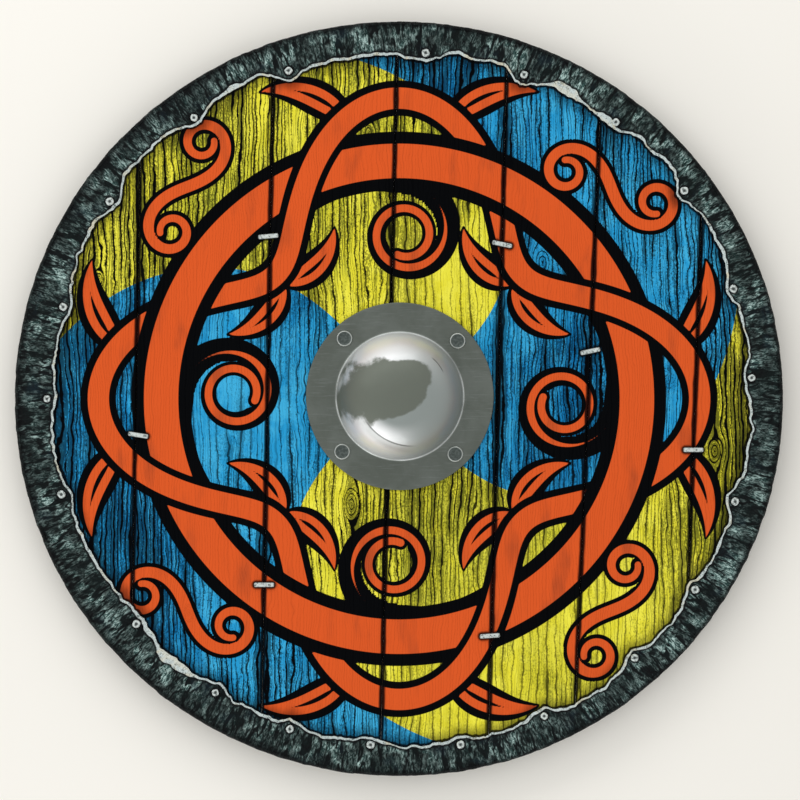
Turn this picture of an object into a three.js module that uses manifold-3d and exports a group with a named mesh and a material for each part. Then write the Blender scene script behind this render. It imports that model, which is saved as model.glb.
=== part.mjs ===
// A round wooden shield, lying on its back with its painted face up.
// Seven upright planks stand edge to edge and are held together three ways: by a grip bar
// nailed across the back, by small iron staples over the joints on the face, and by a strip of
// thick hide folded over the whole edge and nailed through. A dished iron boss, riveted over the
// hand hole, covers the fist that holds the grip.
// Millimetres and degrees. +Z is out of the painted face, +Y runs up the planks.
// The origin is on the surface that the shield lies on, under the middle of its outline.

import * as THREE from "three";
import { mergeVertices } from "three/addons/utils/BufferGeometryUtils.js";
import Module from "manifold-3d";

const wasm = await Module();
wasm.setup();

// Outline and boards
const shieldWidth = 760;
const shieldHeight = 746.6;
const boardThickness = 9;
const jointGap = 0.8;
const boardChamfer = 1.4;
const touchGap = 0.3;
const cutThrough = 1; // how far a hole's cutter runs past the faces that it opens
// Where the joints cross the middle, as shares of the half width, and how far each one leans
const joints = [
  { share: -0.684, lean: 0.018 },
  { share: -0.342, lean: 0.018 },
  { share: -0.026, lean: 0.024 },
  { share: 0.257, lean: 0.0275 },
  { share: 0.492, lean: 0.042 },
  { share: 0.77, lean: 0.037 },
];

// Hide strip folded over the edge
const hideThickness = 3;
const hideSeatGap = 0.7;
const hideEdgeRound = 4;
const tornBevel = 1.6; // slope of the torn inner edge
const lobeReach = 8.2; // how far the hide runs past each nail
const lobeSharpness = 4;
const valleyDraw = 4; // how far it shrinks back between two nails
const edgeWander = 1; // height of the torn edge's slow waves
// Nails of the strip: bearing from +X, inset from the shield's edge as a share of nailInset, and
// how far the stretch after it has shrunk back, as a share of valleyDraw (below zero it runs out)
const nailInset = 31.5;
const rimNails = [
  [3.4, 0.99, 0], [18.2, 1.01, 0.4], [36.1, 0.92, 0.8], [51.9, 0.91, -0.4], [68.9, 0.99, 0.3],
  [85.6, 0.98, -0.4], [108.6, 1.02, 1], [126.1, 1.02, 1], [145.7, 1.02, 0.1], [164.7, 1.14, -0.8],
  [180, 1.03, -0.9], [195.8, 1.05, -1.2], [220.6, 1.13, -0.5], [238, 1.05, -0.6], [251.7, 0.97, -0.5],
  [265.3, 0.97, -0.4], [280.1, 0.85, -0.9], [294.6, 0.95, 0.6], [312.3, 0.97, 0.4], [327.2, 0.96, 0.1],
  [343, 1.03, -0.3],
];
const nailHeadRadius = 4.4;
const nailHeadHeight = 2.2;
// A forged head slopes gently to its shoulder and then turns down to its edge
const nailShoulderReach = 0.8;
const nailShoulderRise = 0.6;
const nailShankRadius = 1.2;
const nailClenchRadius = 2.4;
const nailClenchHeight = 1;

// Boss and its rivets
const bossX = 0.8;
const bossY = 2.5;
const bossWall = 2;
const domeRadius = 62.6;
const domeHeight = 54;
const flangeWidth = 30.1;
const handHoleRadius = 58;
const rivetPlace = 0.545; // where the rivets stand across the flange, from the dome to its edge
const rivetTurn = -1.2;
const rivetHeadRadius = 8.3;
const rivetHeadHeight = 1.7;
const rivetShankRadius = 3;
const rivetTailRadius = 6;
const rivetTailHeight = 1.4;
const rivetTopShare = 0.9; // how much of a head is flat
const rivetTailFlatShare = 0.7;

// Grip bar across the back
const gripDepth = 18;
const gripWidth = 32;
const gripWaist = 28; // width where the hand closes round it
const gripShoulder = 13; // how far its waist swells out on either side of the hand hole's edge
const gripTipWidth = 24;
const gripChamfer = 2.5;
const gripEndClearance = 5;
const gripNailHeadRadius = 4;
const gripNailHeadHeight = 1.2;
const gripNailRecess = 0.5;
const gripNailShankRadius = 1.6;
const gripNailBite = 6.5; // how deep it goes into the boards

// Staples over the joints: which joint, how high as a share of the half height, tilt, side step
const stapleLength = 20.5;
const stapleWidth = 4.8;
const stapleHeight = 2.4;
const stapleLegThickness = 2.4;
const stapleLegDepth = 6.5;
const stapleCorner = 1.5;
const staples = [
  { joint: 1, height: 0.43, tilt: 5, step: -2 },
  { joint: 0, height: -0.096, tilt: -9, step: 3 },
  { joint: 1, height: -0.492, tilt: 0, step: 0 },
  { joint: 3, height: 0.409, tilt: -12, step: 0 },
  { joint: 4, height: 0.126, tilt: 12, step: 0 },
  { joint: 3, height: -0.627, tilt: 4, step: -1.5 },
  { joint: 5, height: -0.135, tilt: 0, step: 0 },
];

// How round shapes are divided
const discSteps = 108;
const rimStepsPerNail = 6;
const bossSteps = 36;
const domeRings = 6;
const shankSides = 6;
const headSides = 8;
const rivetSides = 10;

// Heights, from the surface that the shield lies on
const boardBack = gripDepth + touchGap;
const boardFront = boardBack + boardThickness;
const hideFront = boardFront + touchGap + hideThickness;
const hideBack = boardBack - touchGap - hideThickness;
const bossSeat = boardFront + touchGap;

const halfWidth = shieldWidth / 2;
const halfHeight = shieldHeight / 2;
const hideInside = hideThickness + hideSeatGap;
const flangeRadius = domeRadius + flangeWidth;
const rivetCircleRadius = domeRadius + rivetPlace * flangeWidth;

// Distance from the centre to the shield's edge along a bearing, which is an ellipse's
function edgeRadius(bearing) {
  return (halfWidth * halfHeight) / Math.hypot(halfHeight * Math.cos(bearing), halfWidth * Math.sin(bearing));
}

function toSolid(geometry) {
  const loose = geometry.index ? geometry.toNonIndexed() : geometry;
  const bare = new THREE.BufferGeometry().setAttribute("position", loose.getAttribute("position"));
  const merged = mergeVertices(bare, 1e-3);
  return new wasm.Manifold(
    new wasm.Mesh({
      numProp: 3,
      vertProperties: merged.attributes.position.array,
      triVerts: new Uint32Array(merged.index.array),
    }),
  );
}

function toGeometry(solid) {
  const mesh = solid.getMesh();
  const geometry = new THREE.BufferGeometry()
    .setAttribute("position", new THREE.BufferAttribute(new Float32Array(mesh.vertProperties), 3))
    .setIndex(new THREE.BufferAttribute(new Uint32Array(mesh.triVerts), 1));
  const faceted = geometry.toNonIndexed();
  faceted.computeVertexNormals();
  return faceted;
}

function cutBy(geometry, cutters) {
  return toGeometry(cutters.reduce((solid, cutter) => solid.subtract(cutter), toSolid(geometry)));
}

// A body turned about Z, from [radius, height] pairs that run from its foot to its top
function turned(profile, sides) {
  const points = profile.map(([radius, height]) => new THREE.Vector2(radius, height));
  return new THREE.LatheGeometry(points, sides).rotateX(Math.PI / 2);
}

function uprightPin(x, y, low, high, radius, sides) {
  const pin = new THREE.CylinderGeometry(radius, radius, high - low, sides);
  return toSolid(pin.rotateX(Math.PI / 2).translate(x, y, (low + high) / 2));
}

// Joints between boards
function jointX(joint, y) {
  return joint.share * halfWidth + joint.lean * y;
}

// Hide strip: where its nails stand
const nailPlaces = rimNails.map(([degrees, share, draw]) => {
  const bearing = THREE.MathUtils.degToRad(degrees);
  const inset = share * nailInset;
  const radius = edgeRadius(bearing) - inset;
  return { bearing, inset, draw, x: radius * Math.cos(bearing), y: radius * Math.sin(bearing) };
});

const widestFlap = Math.max(...nailPlaces.map(({ inset }) => inset)) + lobeReach;

// A place along the strip, counted in nails: 2.5 is half way from the third nail to the fourth
function alongStrip(count) {
  const total = nailPlaces.length;
  const nail = nailPlaces[Math.floor(count) % total];
  const next = nailPlaces[(Math.floor(count) + 1) % total];
  const share = count - Math.floor(count);
  const sweep = (next.bearing - nail.bearing + 2 * Math.PI) % (2 * Math.PI);
  const bearing = nail.bearing + sweep * share;
  const inset = nail.inset * (1 - share) + next.inset * share;
  const lobe = (0.5 + 0.5 * Math.cos(2 * Math.PI * share)) ** lobeSharpness;
  const wander = 0.5 * edgeWander * (Math.sin(17 * bearing + 1) + Math.sin(29 * bearing + 2));
  return { bearing, flap: inset + lobeReach * lobe - nail.draw * valleyDraw * (1 - lobe) + wander };
}

// The strip's section is turned with every flap as wide as the widest, and then each flap is
// drawn in to its own width there
function makeHide() {
  const profile = [
    [widestFlap, boardFront + touchGap],
    [hideInside, boardFront + touchGap],
    [hideInside, boardBack - touchGap],
    [widestFlap, boardBack - touchGap],
    [widestFlap - tornBevel, hideBack],
    [hideEdgeRound, hideBack],
    [0, hideBack + hideEdgeRound],
    [0, hideFront - hideEdgeRound],
    [hideEdgeRound, hideFront],
    [widestFlap - tornBevel, hideFront],
    [widestFlap, boardFront + touchGap],
  ].map(([inset, height]) => new THREE.Vector2(halfWidth - inset, height));
  const steps = rimStepsPerNail * nailPlaces.length;
  const geometry = new THREE.LatheGeometry(profile, steps).toNonIndexed();
  const position = geometry.attributes.position;
  for (let i = 0; i < position.count; i++) {
    const turn = Math.atan2(position.getX(i), position.getZ(i)) / (2 * Math.PI);
    const step = Math.round((turn + 1) * steps) % steps;
    const { bearing, flap } = alongStrip(step / rimStepsPerNail);
    const flat = halfWidth - Math.hypot(position.getX(i), position.getZ(i));
    const drawnIn = (flap - hideInside) / (widestFlap - hideInside);
    const inset = flat < hideInside ? flat : hideInside + (flat - hideInside) * drawnIn;
    const radius = edgeRadius(bearing) - inset;
    position.setXYZ(i, radius * Math.cos(bearing), radius * Math.sin(bearing), position.getY(i));
  }
  const holes = nailPlaces.map(({ x, y }) =>
    uprightPin(x, y, hideBack - cutThrough, hideFront + cutThrough, nailShankRadius + touchGap, shankSides),
  );
  return cutBy(geometry, holes);
}

function makeRimNail() {
  const back = hideBack - touchGap;
  const front = hideFront + touchGap;
  return turned(
    [
      [0, back - nailClenchHeight],
      [nailClenchRadius, back],
      [nailShankRadius, back],
      [nailShankRadius, front],
      [nailHeadRadius, front],
      [nailHeadRadius * nailShoulderReach, front + nailHeadHeight * nailShoulderRise],
      [0, front + nailHeadHeight],
    ],
    shankSides,
  );
}

// Rivets of the boss stand on one circle, a quarter turn apart
const rivetPlaces = [45, 135, 225, 315].map((degrees) => {
  const bearing = THREE.MathUtils.degToRad(degrees + rivetTurn);
  return {
    x: bossX + rivetCircleRadius * Math.cos(bearing),
    y: bossY + rivetCircleRadius * Math.sin(bearing),
  };
});

// Boss: a flat flange round a dome, one even wall throughout
function makeBoss() {
  const quarter = (radius, height, base) =>
    Array.from({ length: domeRings + 1 }, (_, ring) => {
      const angle = (ring / domeRings) * (Math.PI / 2);
      return [ring === domeRings ? 0 : radius * Math.cos(angle), base + height * Math.sin(angle)];
    });
  const inside = quarter(domeRadius - bossWall, domeHeight - bossWall, 0).reverse();
  const outside = quarter(domeRadius, domeHeight - bossWall, bossWall);
  const flange = [
    [flangeRadius, 0],
    [flangeRadius, bossWall],
  ];
  const boss = turned([...inside, ...flange, ...outside], bossSteps);
  const holes = rivetPlaces.map(({ x, y }) =>
    uprightPin(
      x - bossX,
      y - bossY,
      -cutThrough,
      bossWall + cutThrough,
      rivetShankRadius + touchGap,
      rivetSides,
    ),
  );
  return cutBy(boss, holes);
}

function makeRivet() {
  const back = boardBack - touchGap;
  const front = bossSeat + bossWall + touchGap;
  return turned(
    [
      [0, back - rivetTailHeight],
      [rivetTailRadius * rivetTailFlatShare, back - rivetTailHeight],
      [rivetTailRadius, back],
      [rivetShankRadius, back],
      [rivetShankRadius, front],
      [rivetHeadRadius, front],
      [rivetHeadRadius * rivetTopShare, front + rivetHeadHeight],
      [0, front + rivetHeadHeight],
    ],
    rivetSides,
  );
}

// Grip bar, as long as the hide's back flap lets it be
const gripHalfLength = halfWidth - widestFlap - edgeWander - gripEndClearance;

// One grip nail for each board, in the middle of the longest stretch of bar that lies on it
const gripNailPlaces = Array.from({ length: joints.length + 1 }, (_, board) => {
  const left = board === 0 ? bossX - gripHalfLength : jointX(joints[board - 1], bossY);
  const right = board === joints.length ? bossX + gripHalfLength : jointX(joints[board], bossY);
  const stretches = [
    [left, Math.min(right, bossX - handHoleRadius)],
    [Math.max(left, bossX + handHoleRadius), right],
  ];
  const [from, to] = stretches.sort((a, b) => b[1] - b[0] - (a[1] - a[0]))[0];
  return (from + to) / 2;
});

function makeGrip() {
  const waistEnd = handHoleRadius - gripShoulder;
  const shoulderEnd = handHoleRadius + gripShoulder;
  const side = [
    [-gripHalfLength, gripTipWidth / 2],
    [-shoulderEnd, gripWidth / 2],
    [-waistEnd, gripWaist / 2],
    [waistEnd, gripWaist / 2],
    [shoulderEnd, gripWidth / 2],
    [gripHalfLength, gripTipWidth / 2],
  ];
  const outline = new THREE.Shape([
    ...side.map(([x, y]) => new THREE.Vector2(x + bossX, bossY - y)),
    ...side.reverse().map(([x, y]) => new THREE.Vector2(x + bossX, bossY + y)),
  ]);
  const bar = new THREE.ExtrudeGeometry(outline, {
    depth: gripDepth - 2 * gripChamfer,
    bevelThickness: gripChamfer,
    bevelSize: gripChamfer,
    bevelOffset: -gripChamfer,
    bevelSegments: 1,
  }).translate(0, 0, gripChamfer);
  const recess = gripNailRecess + gripNailHeadHeight + touchGap;
  const holes = gripNailPlaces.flatMap((x) => [
    uprightPin(x, bossY, -cutThrough, recess, gripNailHeadRadius + touchGap, headSides),
    uprightPin(x, bossY, -cutThrough, gripDepth + cutThrough, gripNailShankRadius + touchGap, shankSides),
  ]);
  return cutBy(bar, holes);
}

function makeGripNail() {
  const tip = boardBack + gripNailBite;
  return turned(
    [
      [0, gripNailRecess],
      [gripNailHeadRadius, gripNailRecess],
      [gripNailHeadRadius, gripNailRecess + gripNailHeadHeight],
      [gripNailShankRadius, gripNailRecess + gripNailHeadHeight],
      [gripNailShankRadius, tip - 2 * gripNailShankRadius],
      [0, tip],
    ],
    headSides,
  );
}

// Staples
const staplePlaces = staples.map(({ joint, height, tilt, step }) => {
  const y = height * halfHeight;
  return { x: jointX(joints[joint], y) + step, y, turn: THREE.MathUtils.degToRad(tilt) };
});

function makeStaple() {
  const half = stapleLength / 2;
  const foot = half - stapleLegThickness;
  const side = [
    [-half, -stapleLegDepth],
    [-foot, -stapleLegDepth],
    [-foot, touchGap],
    [foot, touchGap],
    [foot, -stapleLegDepth],
    [half, -stapleLegDepth],
    [half, touchGap + stapleHeight - stapleCorner],
    [half - stapleCorner, touchGap + stapleHeight],
    [stapleCorner - half, touchGap + stapleHeight],
    [-half, touchGap + stapleHeight - stapleCorner],
  ];
  const outline = new THREE.Shape(side.map(([x, z]) => new THREE.Vector2(x, z)));
  return new THREE.ExtrudeGeometry(outline, { depth: stapleWidth, bevelEnabled: false })
    .translate(0, 0, -stapleWidth / 2)
    .rotateX(Math.PI / 2);
}

function stapleLegHoles({ x, y, turn }) {
  return [-1, 1].map((side) => {
    const hole = new THREE.BoxGeometry(
      stapleLegThickness + 2 * touchGap,
      stapleWidth + 2 * touchGap,
      2 * (stapleLegDepth + touchGap),
    );
    hole.translate((side * (stapleLength - stapleLegThickness)) / 2, 0, boardFront);
    return toSolid(hole.rotateZ(turn).translate(x, y, 0));
  });
}

// Boards: the whole disc, cut into strips by the leaning joints, then drilled
function makeBoards() {
  const disc = new THREE.CylinderGeometry(1, 1, boardThickness, discSteps)
    .rotateX(Math.PI / 2)
    .scale(halfWidth - hideThickness - 2 * hideSeatGap, halfHeight - hideThickness - 2 * hideSeatGap, 1)
    .translate(0, 0, boardBack + boardThickness / 2);
  const low = boardBack - cutThrough;
  const high = boardFront + cutThrough;
  const nailEnd = boardBack + gripNailBite + touchGap;
  const holes = [
    uprightPin(bossX, bossY, low, high, handHoleRadius, bossSteps),
    ...nailPlaces.map(({ x, y }) => uprightPin(x, y, low, high, nailShankRadius + touchGap, shankSides)),
    ...rivetPlaces.map(({ x, y }) => uprightPin(x, y, low, high, rivetShankRadius + touchGap, rivetSides)),
    ...gripNailPlaces.map((x) =>
      uprightPin(x, bossY, low, nailEnd, gripNailShankRadius + touchGap, shankSides),
    ),
    ...staplePlaces.flatMap(stapleLegHoles),
  ];
  const drilled = holes.reduce((solid, hole) => solid.subtract(hole), toSolid(disc));
  const beyond = shieldWidth;
  const wallOf = (joint, side) =>
    [-halfHeight, halfHeight].map((y) => jointX(joint, y) + (side * jointGap) / 2);
  return Array.from({ length: joints.length + 1 }, (_, board) => {
    const [leftFoot, leftTop] = board === 0 ? [-beyond, -beyond] : wallOf(joints[board - 1], 1);
    const [rightFoot, rightTop] = board === joints.length ? [beyond, beyond] : wallOf(joints[board], -1);
    const strip = new THREE.Shape([
      new THREE.Vector2(leftFoot, -halfHeight),
      new THREE.Vector2(rightFoot, -halfHeight),
      new THREE.Vector2(rightTop, halfHeight),
      new THREE.Vector2(leftTop, halfHeight),
    ]);
    const slab = new THREE.ExtrudeGeometry(strip, {
      depth: boardThickness - 2 * boardChamfer,
      bevelThickness: boardChamfer,
      bevelSize: boardChamfer,
      bevelOffset: -boardChamfer,
      bevelSegments: 1,
    }).translate(0, 0, boardBack + boardChamfer);
    return toGeometry(drilled.intersect(toSolid(slab)));
  });
}

// Materials
const painted = (color) => new THREE.MeshStandardMaterial({ color, roughness: 0.75, metalness: 0 });
const bluePaint = painted(0x1b86c9);
const yellowPaint = painted(0xe0d93a);
const hide = new THREE.MeshStandardMaterial({ color: 0x2f3a3a, roughness: 0.85, metalness: 0 });
const bareWood = new THREE.MeshStandardMaterial({ color: 0x9a7548, roughness: 0.7, metalness: 0 });
const steel = new THREE.MeshStandardMaterial({ color: 0x8b8f8d, roughness: 0.35, metalness: 1 });
const iron = new THREE.MeshStandardMaterial({ color: 0xb9bdbb, roughness: 0.5, metalness: 1 });

const shield = new THREE.Group();

function place(name, geometry, material, x = 0, y = 0, z = 0, turn = 0) {
  const mesh = new THREE.Mesh(geometry, material);
  mesh.name = name;
  mesh.position.set(x, y, z);
  mesh.rotation.z = turn;
  shield.add(mesh);
}

makeBoards().forEach((board, i) => place(`plank_${i + 1}`, board, i % 2 ? bluePaint : yellowPaint));
place("rim_hide", makeHide(), hide);
nailPlaces.forEach(({ x, y, bearing }, i) =>
  place(`rim_nail_${String(i + 1).padStart(2, "0")}`, makeRimNail(), iron, x, y, 0, bearing),
);
place("boss", makeBoss(), steel, bossX, bossY, bossSeat);
rivetPlaces.forEach(({ x, y }, i) => place(`boss_rivet_${i + 1}`, makeRivet(), steel, x, y));
place("grip", makeGrip(), bareWood);
gripNailPlaces.forEach((x, i) => place(`grip_nail_${i + 1}`, makeGripNail(), iron, x, bossY));
staplePlaces.forEach(({ x, y, turn }, i) =>
  place(`staple_${i + 1}`, makeStaple(), iron, x, y, boardFront, turn),
);

export default shield;
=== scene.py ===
# %% [markdown]
# # A painted round shield
# The real shield is made of seven upright boards. A hide strip is folded over their edge and
# nailed through, iron staples hold the joints, a steel boss covers the hand hole, and a grip bar
# crosses the back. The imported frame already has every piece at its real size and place, so each
# cell below makes one kind of piece finer where the frame has it, and then gives it its finish.
# Lengths are in metres, as Blender counts them, and MM turns the sizes that a maker would name
# into metres.

# %% Load the frame
import math

import bmesh
import bpy
import numpy as np
from mathutils import Matrix, Vector


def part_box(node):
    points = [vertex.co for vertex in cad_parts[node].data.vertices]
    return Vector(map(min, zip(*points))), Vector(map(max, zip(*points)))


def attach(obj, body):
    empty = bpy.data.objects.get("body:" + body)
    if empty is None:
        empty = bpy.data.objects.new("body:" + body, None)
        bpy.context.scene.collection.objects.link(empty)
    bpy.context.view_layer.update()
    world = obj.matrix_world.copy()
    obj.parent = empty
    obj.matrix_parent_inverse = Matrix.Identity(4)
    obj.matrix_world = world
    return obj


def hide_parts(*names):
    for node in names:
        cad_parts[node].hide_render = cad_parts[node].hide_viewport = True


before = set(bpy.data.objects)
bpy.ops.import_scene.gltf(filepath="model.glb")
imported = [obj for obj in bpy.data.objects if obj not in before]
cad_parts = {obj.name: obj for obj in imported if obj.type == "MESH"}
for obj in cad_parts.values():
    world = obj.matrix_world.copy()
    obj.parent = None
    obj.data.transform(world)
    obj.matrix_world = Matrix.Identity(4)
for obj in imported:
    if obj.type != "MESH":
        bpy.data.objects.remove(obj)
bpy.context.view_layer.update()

MM = 0.001
# Two heights that differ by less than this are one level
LEVEL = 0.01 * MM

# %% [markdown]
# ## The camera
# The photo looks straight at the painted face, so the camera hangs high over the shield as it lies,
# and looks straight down. A long lens from far away keeps the dome from leaning outwards. The
# shield's width in the photo sets how much the lens takes in, and the place of its middle says how
# far the camera stands to one side.

# %% Camera over the face
PHOTO_SIZE = 800
SHIELD_PIXELS = 769.8
SHIELD_MIDDLE = (399.0, 398.8)
CAMERA_HEIGHT = 7.0

rim_low, rim_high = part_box("rim_hide")
pixel = (rim_high.x - rim_low.x) / SHIELD_PIXELS
camera = bpy.data.objects.new("camera", bpy.data.cameras.new("camera"))
bpy.context.scene.collection.objects.link(camera)
bpy.context.scene.camera = camera
camera.location = (
    (PHOTO_SIZE / 2 - SHIELD_MIDDLE[0]) * pixel,
    (SHIELD_MIDDLE[1] - PHOTO_SIZE / 2) * pixel,
    CAMERA_HEIGHT,
)
camera.data.sensor_width = 36
camera.data.lens = camera.data.sensor_width * (CAMERA_HEIGHT - rim_high.z) / (PHOTO_SIZE * pixel)
camera.data.clip_end = 100
print("lens", round(camera.data.lens, 1), "mm")

# %% [markdown]
# ## Noise and small helpers
# Nothing on a handmade shield is even. `drift` gives a smooth, repeatable waver: a steady random
# number at every whole-number place, and a soft blend between them. Written with numpy it can move
# a hundred thousand vertices at once, where a loop over vertices would take minutes.

# %% Repeatable noise
def scattered(column, row, seed):
    """A steady random number from -1 to 1 for every pair of whole numbers"""
    mixed = (column * 374761393 + row * 668265263 + seed * 97463477) & 0xFFFFFFFF
    mixed = ((mixed ^ (mixed >> 13)) * 1274126177) & 0xFFFFFFFF
    return ((mixed ^ (mixed >> 16)) & 0xFFFF) / 32767.5 - 1


def drift(x, y, seed, around=1 << 30):
    """Smooth noise from -1 to 1, with about one wave for each unit of x and y. Where x goes round the
    shield, it meets itself again after that many waves."""
    column, row = np.floor(x).astype(np.int64), np.floor(y).astype(np.int64)
    across, up = x - column, y - row
    across, up = across * across * (3 - 2 * across), up * up * (3 - 2 * up)
    left, right = column % around, (column + 1) % around
    low = scattered(left, row, seed) * (1 - across) + scattered(right, row, seed) * across
    high = scattered(left, row + 1, seed) * (1 - across) + scattered(right, row + 1, seed) * across
    return low * (1 - up) + high * up


def ease(value, low, high):
    """0 below low, 1 above high, and a soft slope between"""
    share = np.clip((value - low) / (high - low), 0, 1)
    return share * share * (3 - 2 * share)


print("noise along a line", np.round(drift(np.arange(0, 3, 0.5), np.zeros(6), 1), 2))

# %% [markdown]
# Blender can hand over all of a mesh's points at once, and take them back the same way, so a shape is
# made by an operator first and then moved as one numpy array. A piece's object stays at the origin:
# its place is in its mesh. The mesh can also carry a number for each point, which a material reads.

# %% Reading and moving a mesh's points
def points_of(mesh):
    flat = np.empty(len(mesh.vertices) * 3, dtype=np.float32)
    mesh.vertices.foreach_get("co", flat)
    return flat.reshape(-1, 3).astype(np.float64)


def move_points(mesh, places):
    mesh.vertices.foreach_set("co", places.astype(np.float32).ravel())
    mesh.update()


def keep_values(mesh, name, values):
    """Stores one number for each vertex, for a material to read"""
    layer = mesh.attributes.get(name) or mesh.attributes.new(name, "FLOAT", "POINT")
    layer.data.foreach_set("value", np.asarray(values, dtype=np.float32))


pieces = []


def piece_from(bm, name, finishes, slot, *nodes):
    """Turns a bmesh into a named piece that rides on the shield and stands for its nodes"""
    mesh = bpy.data.meshes.new(name)
    bm.to_mesh(mesh)
    bm.free()
    for finish in finishes:
        mesh.materials.append(finish)
    piece = bpy.data.objects.new(name, mesh)
    bpy.context.scene.collection.objects.link(piece)
    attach(piece, "root")
    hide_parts(*nodes)
    pieces.append(piece)
    return piece


SHARP = math.radians(50)


def shade_smooth(mesh):
    mesh.polygons.foreach_set("use_smooth", np.ones(len(mesh.polygons), dtype=bool))
    mesh.set_sharp_from_angle(angle=SHARP)


print("a packed board has", len(points_of(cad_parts["plank_4"].data)), "vertices")

# %% [markdown]
# ## A short way to write materials
# A material is a graph of small nodes. Written out in full each node takes five lines, so this
# helper gives one short call for each kind that the finishes need. Every pattern reads Object
# coordinates, which are the frame's own metres, or a number stored on the mesh.

# %% Material helper
class Finish:
    """One material, with a short call for each kind of node"""

    def __init__(self, name):
        self.material = bpy.data.materials.new(name)
        self.material.use_nodes = True
        self.tree = self.material.node_tree
        self.shader = self.tree.nodes["Principled BSDF"]

    def node(self, kind, **settings):
        made = self.tree.nodes.new("ShaderNode" + kind)
        for name, value in settings.items():
            setattr(made, name, value)
        return made

    def feed(self, socket, value):
        if isinstance(value, bpy.types.NodeSocket):
            self.tree.links.new(value, socket)
        elif value is not None:
            socket.default_value = value

    def stored(self, name):
        return self.node("Attribute", attribute_name=name).outputs["Fac"]

    def place(self, scale=(1, 1, 1)):
        made = self.node("Mapping")
        self.feed(made.inputs["Vector"], self.node("TexCoord").outputs["Object"])
        made.inputs["Scale"].default_value = scale
        return made.outputs["Vector"]

    def round_place(self, reach, squeeze):
        """Place as the way round the middle, at this reach, and the squeezed way out from it"""
        split = self.node("SeparateXYZ")
        self.feed(split.inputs[0], self.node("TexCoord").outputs["Object"])
        x, y, z = split.outputs
        out = self.calc("SQRT", self.calc("ADD", self.calc("MULTIPLY", x, x), self.calc("MULTIPLY", y, y)))
        joined = self.node("CombineXYZ")
        self.feed(joined.inputs["X"], self.calc("MULTIPLY", self.calc("ARCTAN2", y, x), reach))
        self.feed(joined.inputs["Y"], self.calc("MULTIPLY", out, squeeze))
        self.feed(joined.inputs["Z"], z)
        return joined.outputs[0]

    def noise(self, where, scale, detail=2.0, roughness=0.5, distortion=0.0):
        made = self.node("TexNoise")
        self.feed(made.inputs["Vector"], where)
        for name, value in (("Scale", scale), ("Detail", detail), ("Roughness", roughness)):
            made.inputs[name].default_value = value
        made.inputs["Distortion"].default_value = distortion
        return made.outputs["Fac"]

    def calc(self, operation, first, second=None, third=None):
        made = self.node("Math", operation=operation)
        for socket, value in zip(made.inputs, (first, second, third)):
            self.feed(socket, value)
        return made.outputs[0]

    def rise(self, value, low, high, bottom=0.0, top=1.0):
        """Bottom where value is under low, top where it is over high, and a soft slope between"""
        made = self.node("MapRange", interpolation_type="SMOOTHSTEP")
        for name, number in (("From Min", low), ("From Max", high), ("To Min", bottom), ("To Max", top)):
            self.feed(made.inputs[name], number)
        self.feed(made.inputs["Value"], value)
        return made.outputs["Result"]

    def tint(self, share, first, second, blend="MIX"):
        made = self.node("Mix", data_type="RGBA", blend_type=blend)
        self.feed(made.inputs[0], share)
        for socket, colour in ((made.inputs[6], first), (made.inputs[7], second)):
            self.feed(socket, (*colour, 1) if isinstance(colour, tuple) else colour)
        return made.outputs[2]

    def bumps(self, height, depth, under=None):
        made = self.node("Bump")
        made.inputs["Distance"].default_value = depth
        self.feed(made.inputs["Height"], height)
        self.feed(made.inputs["Normal"], under)
        return made.outputs["Normal"]

    def wear(self, **sockets):
        """Sets the shader's own sockets, by their names with underscores for spaces"""
        for name, value in sockets.items():
            value = (*value, 1) if isinstance(value, tuple) and len(value) == 3 else value
            self.feed(self.shader.inputs[name.replace("_", " ")], value)
        return self.material


# %% [markdown]
# A colour is easier to choose as a paint chart gives it, from 0 to 255. Blender reckons in amounts of
# light instead, and half of the chart's scale is only about a fifth of the light, so each colour is
# turned into light values once, where it is named.

# %% Colours from a paint chart
def paint(red, green, blue):
    """A chart's colour as Blender's light values"""
    def light(part):
        part /= 255
        return part / 12.92 if part <= 0.04045 else ((part + 0.055) / 1.055) ** 2.4
    return light(red), light(green), light(blue)


print("half of the chart's scale is", round(paint(128, 128, 128)[0], 3), "of the light")

# %% [markdown]
# ## What the frame says about the boards
# The joints between the boards lean a little, each its own way. The flat wall of a packed board
# shows exactly how, so the joint is measured from the wall's largest face. The rim nails' boxes say
# where the hide strip's lobes are.

# %% Measure the frame
def joint_line(node, side):
    """Where a board's flat side crosses the middle, and how far it leans for each metre up"""
    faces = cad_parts[node].data.polygons
    flat = [face for face in faces if face.normal.x * side > 0.9 and abs(face.normal.z) < 0.1]
    wall = max(flat, key=lambda face: face.area)
    lean = -wall.normal.y / wall.normal.x
    return wall.center.x - lean * wall.center.y, lean


def middle(node):
    low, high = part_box(node)
    return (low + high) / 2


def named(start):
    return sorted(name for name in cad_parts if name.startswith(start))


BOARDS = named("plank")
board_back, board_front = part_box("plank_4")[0].z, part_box("plank_4")[1].z
edge_x, edge_y = rim_high.x, rim_high.y
seat_gap = edge_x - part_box("plank_7")[1].x
board_x, board_y = edge_x - seat_gap, edge_y - seat_gap
rim_nails = named("rim_nail")
nails = sorted(map(middle, rim_nails), key=lambda at: math.atan2(at.y, at.x) % math.tau)
boss_middle = middle("boss")


def edge_radius(bearing):
    """How far the shield's edge is from its middle, along a bearing"""
    return edge_x * edge_y / np.hypot(edge_y * np.cos(bearing), edge_x * np.sin(bearing))


print("boards", round(board_back / MM, 1), "to", round(board_front / MM, 1), "mm high")

# %% [markdown]
# ## The hide's torn edge
# The strip's inner edge runs out in a short tongue past every nail and shrinks back between two.
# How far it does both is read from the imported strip, whose torn edge rests just over the boards. One
# function then says how wide the flap is at any bearing, and both the fine strip and the shade that
# it throws on the paint use it.

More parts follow.
